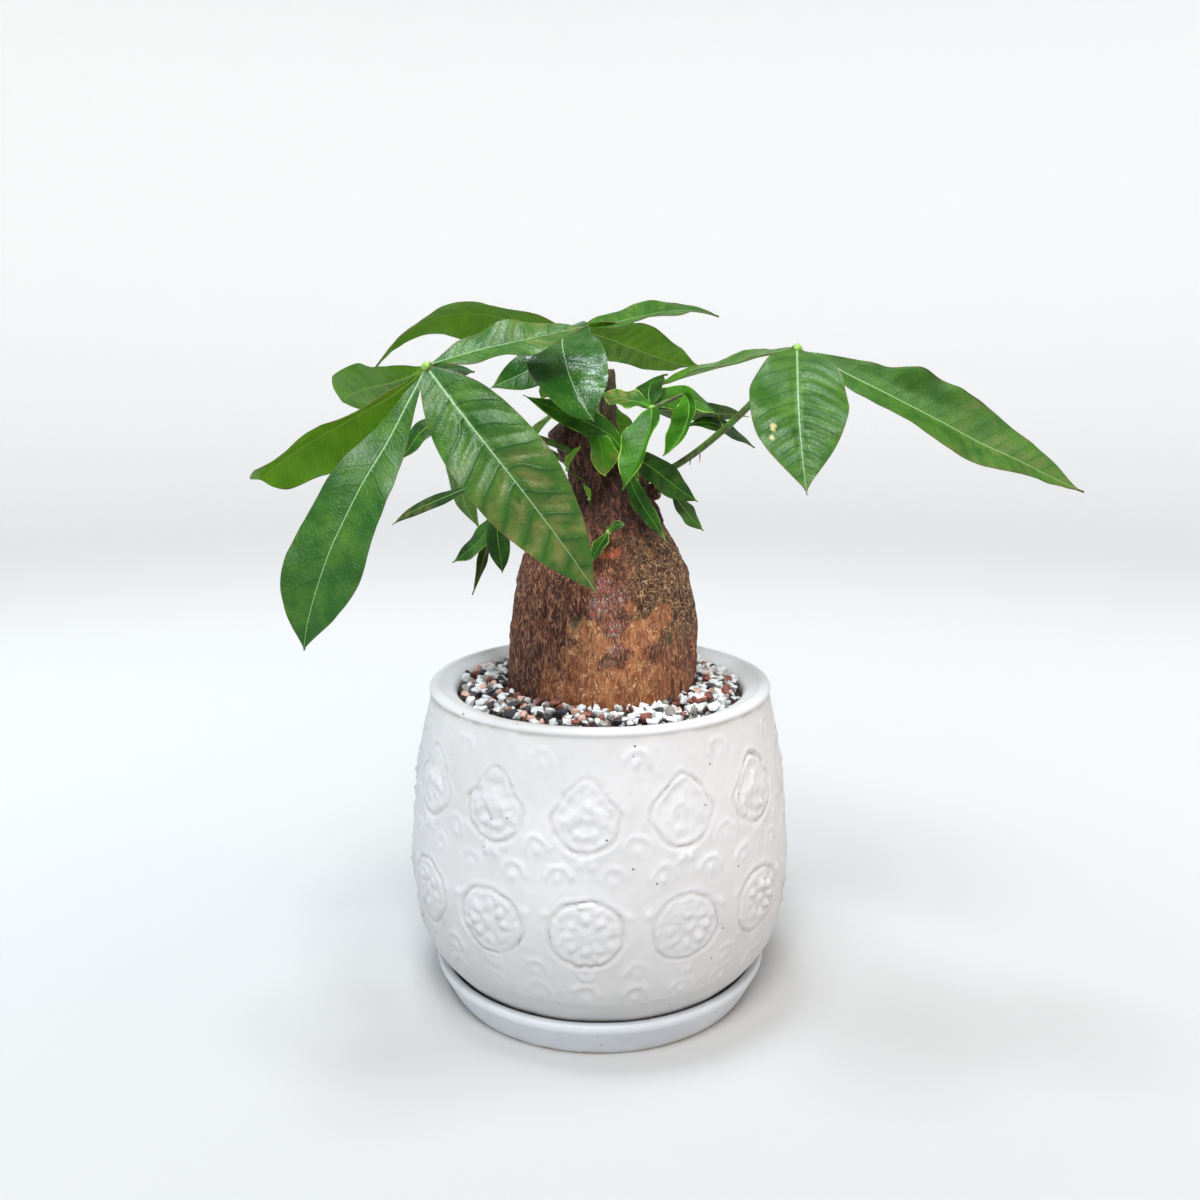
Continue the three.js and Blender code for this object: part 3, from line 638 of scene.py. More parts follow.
def bark_finish():
    """Dark maroon bark with tan fibres, and orange wood where it has flaked off."""
    f = Finish("bark")
    straw, warm = f.painted("straw"), f.painted("warm")
    blotch = f.patches(0.40, 0.62, 7, 6, long=2.2, warp=0.8)
    base = f.mix(straw, f.mix(blotch, *BARK_PAIRS["maroon"]), f.mix(blotch, *BARK_PAIRS["brown"]))
    base = f.over(base, BARK["warm"], warm, 0.85)
    patch = f.noise(1.9, 5, long=4, rough=0.65, warp=0.6)
    base = f.over(base, BARK["tan"], f.step(patch, 0.52, 0.60), 0.45)
    deep = f.patches(0.475, 0.41, 1.5, 5, long=5, rough=0.62, warp=0.9)
    # Painted shade: near-black in the crevices, which the bump also sinks
    base = f.over(base, BARK["recess_shade"], deep, 0.8)

    # Long flakes with cracks between them, painted near-black as shade, away from the straw-coloured side,
    # and pale threads
    wavy = f.bent(5, 0.8)
    apart = f.cells(0.8, "DISTANCE_TO_EDGE", 7, place=wavy)
    kind = f.cells(0.8, long=7, output="Color", place=wavy)
    plain = f.times_plus(straw, -0.8, 1.0)
    base = f.over(base, f.mix(kind, *BARK_PAIRS["flakes"]), plain, 0.3)
    crack_shade = f.times(f.step(apart, 0.20, 0.04), f.times_plus(warm, -0.5, 0.8))
    base = f.over(base, BARK["crack_shade"], crack_shade, plain)
    curl = f.contours(f.noise(3.2, 1, long=1.3, warp=1.0), 6, 0.19)
    strand = f.contours(f.noise(2.6, 2, long=4.5, warp=0.6), 6, 0.17)
    pale = f.blend(straw, strand, curl)
    base = flecked(f, f.over(base, f.mix(straw, *BARK_PAIRS["thread"]), pale, 0.75))

    # Wood with a ragged border where the bark is painted as bare
    hair = f.contours(f.noise(5, 2, long=2, warp=1.4), 9, 0.15)
    hair = f.times(hair, f.patches(0.42, 0.54, 3.4, 3))
    ragged = f.plus(f.painted("bare"), f.times(f.noise(1.6, 6, rough=0.65), 1.2))
    open_wood = f.step(f.times_plus(kind, 0.3, ragged), 0.92, 1.04)
    base = f.mix(open_wood, base, bare_wood(f, hair))
    base = f.mix(f.painted("torn"), base, f.mix(f.patches(0.45, 0.6, 1.1), *BARK_PAIRS["raw"]))

    # The dry dark neck, with painted shade in its crevices, and moss on the scars
    dry = f.mix(f.step(patch, 0.46, 0.6), *BARK_PAIRS["dry"])
    dry = f.over(f.over(dry, BARK["dry_recess_shade"], deep, 0.85), BARK["dry_hair"], hair, 0.4)
    base = f.mix(f.painted("neck"), base, dry)
    f.colour(f.over(base, BARK["moss"], f.painted("scar"), 0.85))
    f.roughness(open_wood, 0.82, 0.6)
    fibres = f.plus(f.step(apart, 0.0, 0.35), f.times(f.plus(pale, hair), 0.4))
    height = f.times_plus(fibres, 0.5, f.plus(patch, f.times(deep, -0.5)))
    f.bump(f.times(height, f.math("SUBTRACT", 1.0, f.times(open_wood, 0.5))), 1.0, 0.9)
    return f.material


def cut_wood_finish():
    f = Finish("cut_wood", Roughness=0.75)
    f.colour(f.mix(f.noise(1.4), (0.17, 0.085, 0.045), (0.36, 0.20, 0.115)))
    f.bump(f.noise(0.8), 0.3)
    return f.material


def leaf_finish(name, deep, fresh, vein, rib, margin, lines, raised, gloss, smooth):
    """A leaf's face, from deep to fresh green by its painted tone, with side veins, a midrib and
    a thin margin. lines is how strongly the veins are coloured. raised is 1 where the veins stand
    out of this face and -1 where they are sunk in it. smooth is its least and greatest roughness."""
    f = Finish(name, Specular_IOR_Level=gloss)
    to_edge, quilted = f.painted("to_edge"), f.painted("quilted")
    side = f.math("GREATER_THAN", f.painted("across"), 0.0)
    near = f.off_middle(f.plus(f.painted("phase"), f.times(side, 0.4)))
    line = f.times(f.step(near, 0.40, 0.49), f.step(to_edge, 0.2, 3.5))
    line = f.times(line, f.times_plus(quilted, 0.7, 0.3))
    net = f.step(f.cells(1.7, "DISTANCE_TO_EDGE"), 0.12, 0.02)
    cloud = f.times(f.math("SUBTRACT", f.noise(9, 5), 0.5), 1.8)
    base = f.mix(f.math("ADD", f.painted("tone"), cloud, clamp=True), deep, fresh)
    base = f.over(base, vein, net, 0.3 * lines)
    # Painted shade: bands of the deep green beside the side veins, as strong as the blade is quilted
    base = f.over(base, deep, f.times(f.step(near, 0.25, 0.5), quilted), 0.5)
    base = f.over(base, vein, line, lines)
    olive = f.times(f.painted("olive"), f.patches(0.36, 0.66, 7, 6, warp=0.5))
    base = f.over(base, (0.185, 0.165, 0.045), olive, f.step(near, 0.55, 0.15))
    base = f.mix(f.step(f.math("DIVIDE", f.painted("off_rib"), f.painted("rib_half")), 1.3, 0.6), base, rib)
    rim = f.times(f.step(to_edge, 0.55, 0.15), f.patches(0.38, 0.58, 7, 2))
    base = f.over(base, margin, rim, f.times(f.painted("tone"), 1.5, clamp=True))
    f.colour(f.mix(f.painted("dry"), base, (0.54, 0.48, 0.23)))
    dull = f.math("SUBTRACT", f.times(f.noise(10), 0.5), f.painted("gloss"))
    f.roughness(f.plus(dull, 0.75), *smooth)
    veins = f.plus(f.times(line, 0.6 * raised), f.times(net, 0.2 * raised))
    pucker = f.times(f.cells(3.1, "SMOOTH_F1"), -0.4 * raised)
    f.bump(f.plus(veins, f.plus(pucker, f.times(f.noise(1.4, 2), 0.1))), 0.28, 0.9)
    return f.material


def stalk_finish(name, light, dark):
    f = Finish(name, Roughness=0.5)
    f.colour(f.mix(f.patches(0.4, 0.65, 3.5, long=2), light, dark))
    f.bump(f.noise(0.8, 3, long=4), 0.2, 0.6)
    return f.material


FINISH = {
    "pot": glaze("pot_glaze", (0.650, 0.645, 0.655), (0.600, 0.595, 0.603), 28),
    "saucer": glaze("saucer_glaze", (0.63, 0.655, 0.69), (0.57, 0.595, 0.63), 24),
    "soil": soil_finish(),
    "white": stone_finish("stone_white", (0.80, 0.82, 0.83), (0.60, 0.61, 0.61)),
    "black": stone_finish("stone_black", (0.018, 0.017, 0.026), (0.055, 0.048, 0.060)),
    "red": stone_finish("stone_red", (0.30, 0.100, 0.070), (0.15, 0.045, 0.035)),
    "grey": stone_finish("stone_grey", (0.36, 0.33, 0.30), (0.22, 0.19, 0.17)),
    "salmon": stone_finish("stone_salmon", (0.70, 0.47, 0.38), (0.48, 0.27, 0.20)),
    "bark": bark_finish(),
    "cut": cut_wood_finish(),
    # The top face's veins are coloured darker than its deepest green, painted shade in the sunken veins
    "top": leaf_finish(
        "leaf_top_face", deep=(0.010, 0.074, 0.002), fresh=(0.080, 0.190, 0.012),
        vein=(0.006, 0.050, 0.003), rib=(0.22, 0.36, 0.16), margin=(0.16, 0.055, 0.02),
        lines=0.3, raised=-1, gloss=0.34, smooth=(0.18, 0.62)),
    # Paler than the top face, as a leaf's underside is, and brighter still, painted light that shines
    # through the thin leaf
    "under": leaf_finish(
        "leaf_underside", deep=(0.050, 0.18, 0.002), fresh=(0.155, 0.37, 0.006),
        vein=(0.26, 0.46, 0.03), rib=(0.28, 0.46, 0.08), margin=(0.16, 0.055, 0.02),
        lines=0.35, raised=1, gloss=0.15, smooth=(0.42, 0.6)),
    "young_top": leaf_finish(
        "young_leaf_top_face", deep=(0.010, 0.042, 0.003), fresh=(0.054, 0.215, 0.006),
        vein=(0.08, 0.26, 0.01), rib=(0.12, 0.34, 0.03), margin=(0.42, 0.68, 0.10),
        lines=0.25, raised=-1, gloss=0.22, smooth=(0.25, 0.6)),
    # Paler than the young top face, as an underside is, and brighter still, painted light that shines
    # through the thin leaf
    "young_under": leaf_finish(
        "young_leaf_underside", deep=(0.030, 0.075, 0.004), fresh=(0.110, 0.28, 0.008),
        vein=(0.22, 0.42, 0.05), rib=(0.28, 0.46, 0.10), margin=(0.26, 0.46, 0.07),
        lines=0.45, raised=1, gloss=0.3, smooth=(0.4, 0.6)),
    "stalk": stalk_finish("leaf_stalk", (0.070, 0.17, 0.020), (0.070, 0.060, 0.022)),
    "hub": stalk_finish("leaf_hub", (0.27, 0.46, 0.09), (0.19, 0.36, 0.06)),
    "twig": stalk_finish("dry_twig", (0.16, 0.075, 0.04), (0.07, 0.035, 0.025)),
}

# ---- Saucer and pot -----------------------------------------------------------------


def make_saucer():
    s = SAUCER
    corners = [(0, 0), (s["under"], 0), (s["outer"], s["height"] - 2.4), (s["outer"] - 0.4, s["height"]),
               (s["inner"], s["height"]), (s["floor"] + 1.6, s["floor_top"]), (0, s["floor_top"])]
    profile = evenly(rounded(corners, 1.1, 6), 0.6)
    points = turned_points(profile, around(ROUND["saucer"]))
    lumps = 0.12 * noise(points, 17, 3) * smooth_step(20, 60, np.hypot(*points[:, :2].T))
    points[:, :2] *= 1 + lumps[:, None] / 64
    bottom_edge = ridge(points[:, 2] - 0.7, 0.9) * smooth_step(60, 61.5, np.hypot(*points[:, :2].T))
    piece = turned_piece("saucer_dish", "saucer", points, ROUND["saucer"], worn=bottom_edge)
    return belongs(piece, "saucer_glaze", "saucer")


def ridge(distance, width):
    return np.exp(-(distance / width)**2)


def blob(x, y, half_width, half_height, tilt=0.0):
    """A low rounded bump, with its long axis leant over by the tilt in degrees."""
    c, s = math.cos(math.radians(tilt)), math.sin(math.radians(tilt))
    along, up = c * x + s * y, c * y - s * x
    return np.exp(-((along / half_width)**2 + (up / half_height)**2)**1.4)


def arch(x, y, radius):
    """A small round arch with a dot under it."""
    ring = ridge(np.hypot(x, y) - radius, 0.95) * smooth_step(-0.6 * radius, 0.1 * radius, y)
    return 0.45 * ring + 0.45 * blob(x, y + 0.1 * radius, 0.34 * radius, 0.42 * radius)


def bumps(rows, x, y):
    """Soft bumps at the places of a table, on the left and on the right or in the middle."""
    total = np.zeros(x.shape)
    for strength, aside, up, half_width, half_height, tilt in rows:
        for side in (-1, 1) if aside else (1,):
            total += strength * blob(x - side * aside, y - up, half_width, half_height, side * tilt)
    return total


def outlined(out):
    """A cut line between two soft ridges, along the edge of a motif."""
    return 0.25 * ridge(out - 1.5, 1.2) - 0.75 * ridge(out, 0.65) + 0.3 * ridge(out + 1.6, 1.0)


def drop_motif(x, y):
    """A pointed drop in outline, with a bud between two leaves in it."""
    level = y / DROP["half_height"]
    lean = x / DROP["half_width"] * (1 + 0.95 * smooth_step(-0.1, 1.25, level))
    return outlined((np.hypot(lean, level) - 1) * DROP["half_width"]) + bumps(DROP_BUMPS, x, y)


def medallion_motif(x, y):
    """A round medallion in outline, with eight petals round a boss."""
    squashed = y / MEDALLION["flat"]
    reach, turn = np.hypot(x, squashed), np.arctan2(squashed, x)
    petal = (turn + np.pi / 8) % (np.pi / 4) - np.pi / 8
    between = turn % (np.pi / 4) - np.pi / 8
    height = outlined(reach - MEDALLION["radius"])
    height += 0.9 * blob(reach - 6.6, petal * 6.6, 2.2, 1.8)
    height += 0.5 * blob(reach - 9.6, between * 9.6, 0.9, 1.1)
    return height + 0.85 * blob(x, y, 2.4, 2.4)


def from_middle(turn, spread, radius):
    """How far round the pot each point is from the nearest of the middles spread round it."""
    return ((turn + spread / 2) % spread - spread / 2) * radius


def relief(angles, height, radius):
    """How far the embossed pattern stands out of the pot's face."""
    spread = 2 * np.pi / PATTERN["columns"]
    turn = angles - math.radians(PATTERN["first"])
    x = from_middle(turn, spread, radius)
    between = from_middle(turn - spread / 2, spread, radius)
    total = drop_motif(x, height - DROP["height"]) + medallion_motif(x, height - MEDALLION["height"])
    total += sum(arch(between - aside, height - up, size) for aside, up, size in ARCHES)
    total += bumps(COLUMN_BUMPS, x, height) + bumps(BETWEEN_BUMPS, between, height)
    total += arch(from_middle(turn, spread / 2, radius), height - 30, 4.7)
    return total + 0.2 * ridge(height - PATTERN["bottom"] - 1.2, 1.2)


def motif_cover(angles, height, radius):
    """1 inside the drops and medallions and 0 away from them."""
    turn = angles - math.radians(PATTERN["first"])
    x = from_middle(turn, 2 * np.pi / PATTERN["columns"], radius)
    in_drop = np.hypot(x / DROP["half_width"], (height - DROP["height"]) / DROP["half_height"])
    in_medallion = np.hypot(x, height - MEDALLION["height"]) / MEDALLION["radius"]
    return smooth_step(1.0, 0.8, np.minimum(in_drop, in_medallion))


def worn_relief(points, turn, wide):
    """The pattern as it is on this pot: warped, crumpled, uneven and worn."""
    high = points[:, 2]
    warp = PATTERN["warp"] * np.stack([rough(points, 6, 2, 21), rough(points, 6, 2, 25)])
    carved = relief(turn + warp[0] / wide, high + warp[1], wide)
    carved *= 1 + 0.6 * noise(points, 2.4, 9) + 0.4 * noise(points, 7, 12)
    crumpled = 0.55 - np.abs(rough(points, 3.4, 2, 10))
    carved += 0.5 * crumpled * (0.3 + motif_cover(turn, high, wide))
    bottom, top = PATTERN["bottom"], PATTERN["top"]
    window = smooth_step(bottom - 2, bottom, high) * smooth_step(top + 2, top - 1, high)
    return carved * window * (0.85 + 0.45 * noise(points, 19, 5)) * PATTERN["depth"]


def pot_profile():
    """The pot's outline from the drain hole under it round to the drain hole inside it."""
    outer = spline(POT_FACE, 200)
    face = evenly(outer, 0.88)
    foot_radius, foot = POT_FACE[0]
    under = foot + POT["foot_lift"]
    floor = under + POT["floor"]
    ring = foot_radius - POT["foot_width"]
    start = rounded([(POT["drain"], under), (ring - 1, under), (ring, foot), (foot_radius, foot)], 0.8, 4)
    rim = rounded([face[-1], *POT_RIM], 1.2, 7)
    walls = [(np.interp(z, outer[:, 1], outer[:, 0]) - POT["wall"], z) for z in (100, 80, 57, 35, 20)]
    inside = evenly([*walls, (POT["floor_radius"], floor), (POT["drain"], floor)], 12)
    return np.vstack([evenly(start, 3)[:-1], face[:-1], evenly(rim, 0.75), inside, [(POT["drain"], under)]])


def make_pot():
    profile = pot_profile()
    angles = around(ROUND["pot"])
    points = turned_points(profile, angles)
    turn = np.tile(angles, len(profile))
    wide, high = np.repeat(profile, len(angles), axis=0).T
    shown = (wide > np.interp(high, [0, 128], [50, 60])) & (high < POT_FACE[-1][1])
    carved = worn_relief(points, turn, wide) * shown
    lumps = 0.22 * noise(points, 13, 7) + 0.1 * noise(points, 5, 8)
    # Painted shade that greys the glaze towards the foot, from about 75 mm down
    grime = shown * smooth_step(75, 18, high + 4 * noise(points, 12, 11))
    slope = np.gradient(profile, axis=0)
    normal = np.stack([slope[:, 1], -slope[:, 0]], 1) / np.linalg.norm(slope, axis=1, keepdims=True)
    away, lift = np.repeat(normal, len(angles), axis=0).T * (carved + lumps - 0.25) * shown
    points += np.stack([np.sin(turn) * away, -np.cos(turn) * away, lift], 1)
    worn = ridge(high - POT_RIM[0][1], 0.8) * (wide > 64) * (0.15 + 0.85 * np.abs(np.sin(turn)))
    piece = turned_piece("pot_embossed", "pot", points, len(angles), sharp=60, worn=worn, grime=grime,
                         relief=np.where(shown, carved - 0.15, 1.0))
    return belongs(piece, "pot_glaze", "pot")


# ---- Stone chips --------------------------------------------------------------------


def faces_of(mesh):
    return [[v.index for v in face.verts] for face in mesh.faces]


def chip_forms(draw, count):
    """Angular chips of about unit size: the hulls of a few points, with their edges taken off."""
    forms = []
    for _ in range(count):
        spots = draw.normal(size=(draw.integers(9, 14), 3))
        spots /= np.linalg.norm(spots, axis=1, keepdims=True)
        spots *= draw.uniform(0.7, 1.15, 3)
        hull = bmesh.new()
        for spot in spots:
            hull.verts.new(spot)
        made = bmesh.ops.convex_hull(hull, input=hull.verts)
        inner = made["geom_interior"] + made["geom_unused"]
        loose = [v for v in inner if isinstance(v, bmesh.types.BMVert)]
        bmesh.ops.delete(hull, geom=loose, context="VERTS")
        bmesh.ops.dissolve_limit(hull, angle_limit=math.radians(12), verts=hull.verts, edges=hull.edges)
        bmesh.ops.bevel(hull, geom=list(hull.edges), offset=0.07, segments=2, affect="EDGES", profile=0.6)
        bmesh.ops.triangulate(hull, faces=hull.faces)
        hull.verts.ensure_lookup_table()
        forms.append((np.array([v.co for v in hull.verts]), faces_of(hull)))
        hull.free()
    return forms


def gravel_level(reach):
    g = GRAVEL
    return np.interp(reach, [g["inner"], g["outer"]], [g["level_in"], g["level_out"]])


def turn_matrix(draw):
    """A rotation drawn at random."""
    q = draw.normal(size=4)
    w, x, y, z = q / np.linalg.norm(q)
    return np.array([[1 - 2 * (y * y + z * z), 2 * (x * y - z * w), 2 * (x * z + y * w)],
                     [2 * (x * y + z * w), 1 - 2 * (x * x + z * z), 2 * (y * z - x * w)],
                     [2 * (x * z - y * w), 2 * (y * z + x * w), 1 - 2 * (x * x + y * y)]])


def make_gravel():
    draw = np.random.default_rng(CHIPS["seed"])
    forms = chip_forms(draw, CHIPS["forms"])
    kinds, shares = list(CHIP_SHARES), list(CHIP_SHARES.values())
    heaps = {kind: Shape() for kind in kinds}
    step, row_step = GRAVEL["spacing"], GRAVEL["spacing"] * 0.87
    rows, columns = np.arange(-60, 60, row_step), np.arange(-60, 60, step)
    for (layer, lift), row, column in itertools.product(enumerate(CHIPS["layers"]), rows, columns):
        jitter = draw.uniform(-0.3, 0.3, 2) * step
        x = column + (round(row / row_step) % 2) * step / 2 + jitter[0]
        y = row + jitter[1] + layer * 1.3
        size = draw.uniform(CHIPS["smallest"], CHIPS["largest"]) * (1.0 if draw.random() < 0.8 else 1.2)
        # Painted shade: more black chips and fewer white ones towards the back left
        shaded_share = 0.14 * np.clip((y - x) / GRAVEL["outer"], -1, 1)
        kind = draw.choice(kinds, p=np.add(shares, [-shaded_share, shaded_share, 0, 0, 0]))
        form, faces = forms[draw.integers(len(forms))]
        turn = turn_matrix(draw)
        rise = draw.uniform(-0.7, 0.8)
        reach = math.hypot(x, y)
        if GRAVEL["inner"] + 0.6 * size < reach < GRAVEL["outer"] - 0.6 * size:
            centre = np.array([x, y, gravel_level(reach) + lift + rise])
            heaps[kind].add(form @ turn.T * size * (1, 1, CHIPS["flat"]) + centre, faces)
    for kind, heap in heaps.items():
        belongs(heap.build(f"gravel_{kind}", [FINISH[kind]], sharp=35), "gravel", "gravel")


def make_bed():
    """The grit that shows between the chips."""
    inner, outer, foot = GRAVEL["inner"] - 0.6, GRAVEL["outer"], GRIT["foot"]
    top = [(reach, gravel_level(reach) - GRIT["under_chips"]) for reach in (outer, inner)]
    profile = evenly([(inner, foot), (outer, foot), *top, (inner, foot)], 1.2)
    points = turned_points(profile, around(ROUND["grit"]))
    points[:, 2] += 0.7 * noise(points, 2.6, 31) * smooth_step(115, 118, points[:, 2])
    return belongs(turned_piece("gravel_grit", "soil", points, ROUND["grit"]), "gravel", "gravel")


# ---- Trunk --------------------------------------------------------------------------


def angle_gap(a, b):
    """The difference of two angles in degrees, from -180 to 180."""
    return (a - b + 180) % 360 - 180


def patch_map(places, turn, high, wide, edge):
    """How far inside a round spot each point of the bark is, from 0 to 1."""
    inside = np.zeros(len(turn))
    for where, level, size in places:
        reach = np.hypot(np.radians(angle_gap(turn, where)) * wide, high - level)
        inside = np.maximum(inside, smooth_step(size * 1.1, size * 0.4, reach + edge))
    return inside


def bare_depth(surface, turn, high, wide):
    """How far inside a bare patch each point of the bark is; below 0 outside of them."""
    bare = np.full(len(surface), -1.0)
    for where, level, half_width, half_height in BARE_PATCHES:
        x = np.radians(angle_gap(turn, where)) * wide / half_width
        y = (high - level) / half_height
        bare = np.maximum(bare, 1 - np.hypot(x, y)**1.5)
    return bare + 0.4 * rough(surface, 6, 3, 41)


def torn_flap(surface, turn, high):
    """1 on the torn edge of the bark at the trunk's shoulder, fading downwards."""
    aside = np.abs(angle_gap(turn, TORN_RIM["middle"])) + 3 * noise(surface, 3, 43)
    inside = smooth_step(TORN_RIM["spread"] * 1.2, TORN_RIM["spread"] * 0.8, aside)
    edge = TORN_RIM["height"] + 1.6 * rough(surface * (1, 1, 0), 3.2, 2, 45)
    return inside * smooth_step(edge - TORN_RIM["drop"], edge, high) * (high < edge)


def warm_band(surface, turn, high):
    """1 on the worn lower bark at the front."""
    lower = WARM_BAND["top"] + 7 * rough(surface, (7, 7, 14), 3, 42)
    aside = np.abs(angle_gap(turn, WARM_BAND["middle"])) / WARM_BAND["spread"]
    return smooth_step(lower + 8, lower - 8, high) * smooth_step(1.25, 0.8, aside)


def bark_relief(surface, high, neck, bare):
    """How far the ribs and plates of the bark stand out of the trunk."""
    bark = 1 - smooth_step(0.0, 0.35, bare)
    ribs = np.abs(rough(surface, (2.8, 2.8, 20), 3, 47))
    plates = smooth_step(-0.15, 0.15, rough(surface, (5, 5, 9), 3, 49))
    out = (0.5 - 1.4 * ribs) * (0.35 + 0.65 * bark) + 0.4 * plates * bark - 0.45 * (1 - bark)
    shaggy = smooth_step(150, 178, high) * rough(surface, 2.2, 2, 53)
    return out + 0.45 * shaggy + 0.9 * neck * noise(surface, (5, 5, 16), 51)


def make_trunk():
    fine = spline(TRUNK_RINGS, 260)
    line = evenly(fine[np.argsort(fine[:, 0])][:, [1, 0, 2, 3]], 0.62)
    radius, height, middle_x, middle_y = np.split(line, 4, axis=1)
    angles = around(ROUND["trunk"])
    surface = turned_points(line, angles)
    turn = np.degrees(np.tile(angles, len(line)))
    high = surface[:, 2]
    wide = np.repeat(radius[:, 0], len(angles))
    bare = bare_depth(surface, turn, high, wide)
    flap = torn_flap(surface, turn, high)
    neck = smooth_step(182, 194, high + 5 * noise(surface, 9, 46))
    out = bark_relief(surface, high, neck, bare) + TORN_RIM["out"] * flap

    leaned = angles - np.pi / 2
    bulge = 0.35 * (np.sin(3 * leaned + height * 0.05) + np.sin(5 * leaned - height * 0.11))
    reach = radius + bulge + out.reshape(len(line), -1) * np.clip(radius / 12, 0.3, 1)
    points = np.stack([middle_x + reach * np.sin(angles), middle_y - reach * np.cos(angles),
                       height + 0 * angles], -1).reshape(-1, 3)
    count, n = len(points), len(angles)
    faces = grid_faces(len(line), n, wrap=True)
    faces += [[count, (i + 1) % n, i] for i in range(n)]
    faces += [[count + 1, count - n + i, count - n + (i + 1) % n] for i in range(n)]
    ends = line[[0, -1]][:, [2, 3, 1]] + [(0, 0, 0), (0, 0, 0.6)]
    shape = Shape()
    shape.add(np.vstack([points, ends]), faces,
              bare=np.where(neck > 0.5, -1, bare), neck=neck, warm=warm_band(surface, turn, high),
              scar=patch_map(SCARS, turn, high, wide, 0.8 * noise(surface, 2, 44)),
              fleck=patch_map(FLECKS, turn, high, wide, 1.5 * noise(surface, 4, 48)),
              torn=smooth_step(0.5, 0.75, flap + 0.15 * noise(surface, 1.5, 52)),
              straw=smooth_step(140, 158, high) * smooth_step(-14, 8, angle_gap(turn, 20)))
    for stub in STUBS:
        add_stub(shape, *stub)
    piece = shape.build("trunk_bark", [FINISH["bark"], FINISH["cut"]], sharp=70)
    return belongs(piece, "bark", "trunk")


def add_stub(shape, start, end, size, cut, mossy):
    """The stub of a branch, knobbly, with its cut end in bare wood."""
    start, end = np.array(start, float), np.array(end, float)
    steps, sides = 18, 28
    t = np.linspace(0, 1, steps)
    route = start + (end - start) * t[:, None]
    radii = size * (1.15 - 0.22 * t)
    radii[-1] *= 0.86
    points, faces = tube(route, radii, sides)
    axis = np.vstack([np.repeat(route, sides, axis=0), route[:1], route[-1:]])
    swell = 1 + 0.16 * rough(points, (2.5, 2.5, 5), 3, 61)
    points = axis + (points - axis) * swell[:, None]
    body = len(faces) - sides
    neck = np.ones(len(points))
    shape.add(points, faces[:body], neck=neck, bare=-neck, scar=mossy * neck)
    cap = sorted({i for face in faces[body:] for i in face})
    shape.add(points[cap], [[cap.index(i) for i in face] for face in faces[body:]], 1 if cut else 0,
              neck=neck[cap], bare=-neck[cap], scar=mossy * neck[cap])


# ---- Leaves -------------------------------------------------------------------------


def midrib(root, first, second, tip, s):
    """Points and directions of a smooth curve that passes its inner points at 1/3 and 2/3."""
    root, first, second, tip = (np.array(p, float) for p in (root, first, second, tip))
    c1 = (-5 * root + 18 * first - 9 * second + 2 * tip) / 6
    c2 = (2 * root - 9 * first + 18 * second - 5 * tip) / 6
    s = s[:, None]
    points = (1 - s)**3 * root + 3 * s * (1 - s)**2 * c1 + 3 * s**2 * (1 - s) * c2 + s**3 * tip
    ahead = 3 * (1 - s)**2 * (c1 - root) + 6 * s * (1 - s) * (c2 - c1) + 3 * s**2 * (tip - c2)
    return points, ahead / np.linalg.norm(ahead, axis=1, keepdims=True)


def blade_spine(leaflet, root, s):
    """The midrib's points, the direction across the blade and upwards, and half of its width."""
    first, second, tip = leaflet.route[-3:]
    point, ahead = midrib(root, first, second, tip, s)
    peak, taper = leaflet.peak, leaflet.taper
    tail = taper * (1 - peak) / peak
    outline = s**taper * (1 - s)**tail / (peak**taper * (1 - peak)**tail)
    outline = outline * (1 - leaflet.point * s**14)
    level = np.cross(np.array(tip, float) - root, (0, 0, 1))
    level /= np.linalg.norm(level)
    side = level - ahead * (ahead @ level)[:, None]
    side /= np.linalg.norm(side, axis=1, keepdims=True)
    lean = -np.radians(leaflet.roll + leaflet.twist * s * s)[:, None]
    side = side * np.cos(lean) + np.cross(ahead, side) * np.sin(lean)
    least = np.where(s < 0.5, BLADE["root_half"], BLADE["tip_half"])
    half = np.maximum(leaflet.width / 2 * outline, least)[:, None]
    return point, side, np.cross(side, ahead), half, outline[:, None]


def join_edges(shape, above, below, rows, columns):
    """Faces between the borders of a blade's two sides, which start at these points."""
    border = [(i, 0) for i in range(rows)] + [(rows, j) for j in range(columns)]
    border += [(i, columns) for i in range(rows, 0, -1)] + [(0, j) for j in range(columns, 0, -1)]
    ring = [i * (columns + 1) + j for i, j in border]
    for a, b in zip(ring, ring[1:] + ring[:1]):
        shape.faces.append([above + a, above + b, below + b, below + a])
        shape.slots.append(0)


def dry_spots(places):
    """1 in the middle of a dry spot and 0 away from them."""
    dry = np.zeros(len(places))
    for spot, size in DRY_SPOTS:
        reach = np.linalg.norm((places - spot) * (1, 1, 0.6), axis=1) + 1.1 * noise(places, 1.6, 120)
        dry = np.maximum(dry, smooth_step(size, 0.6 * size, reach))
    return dry


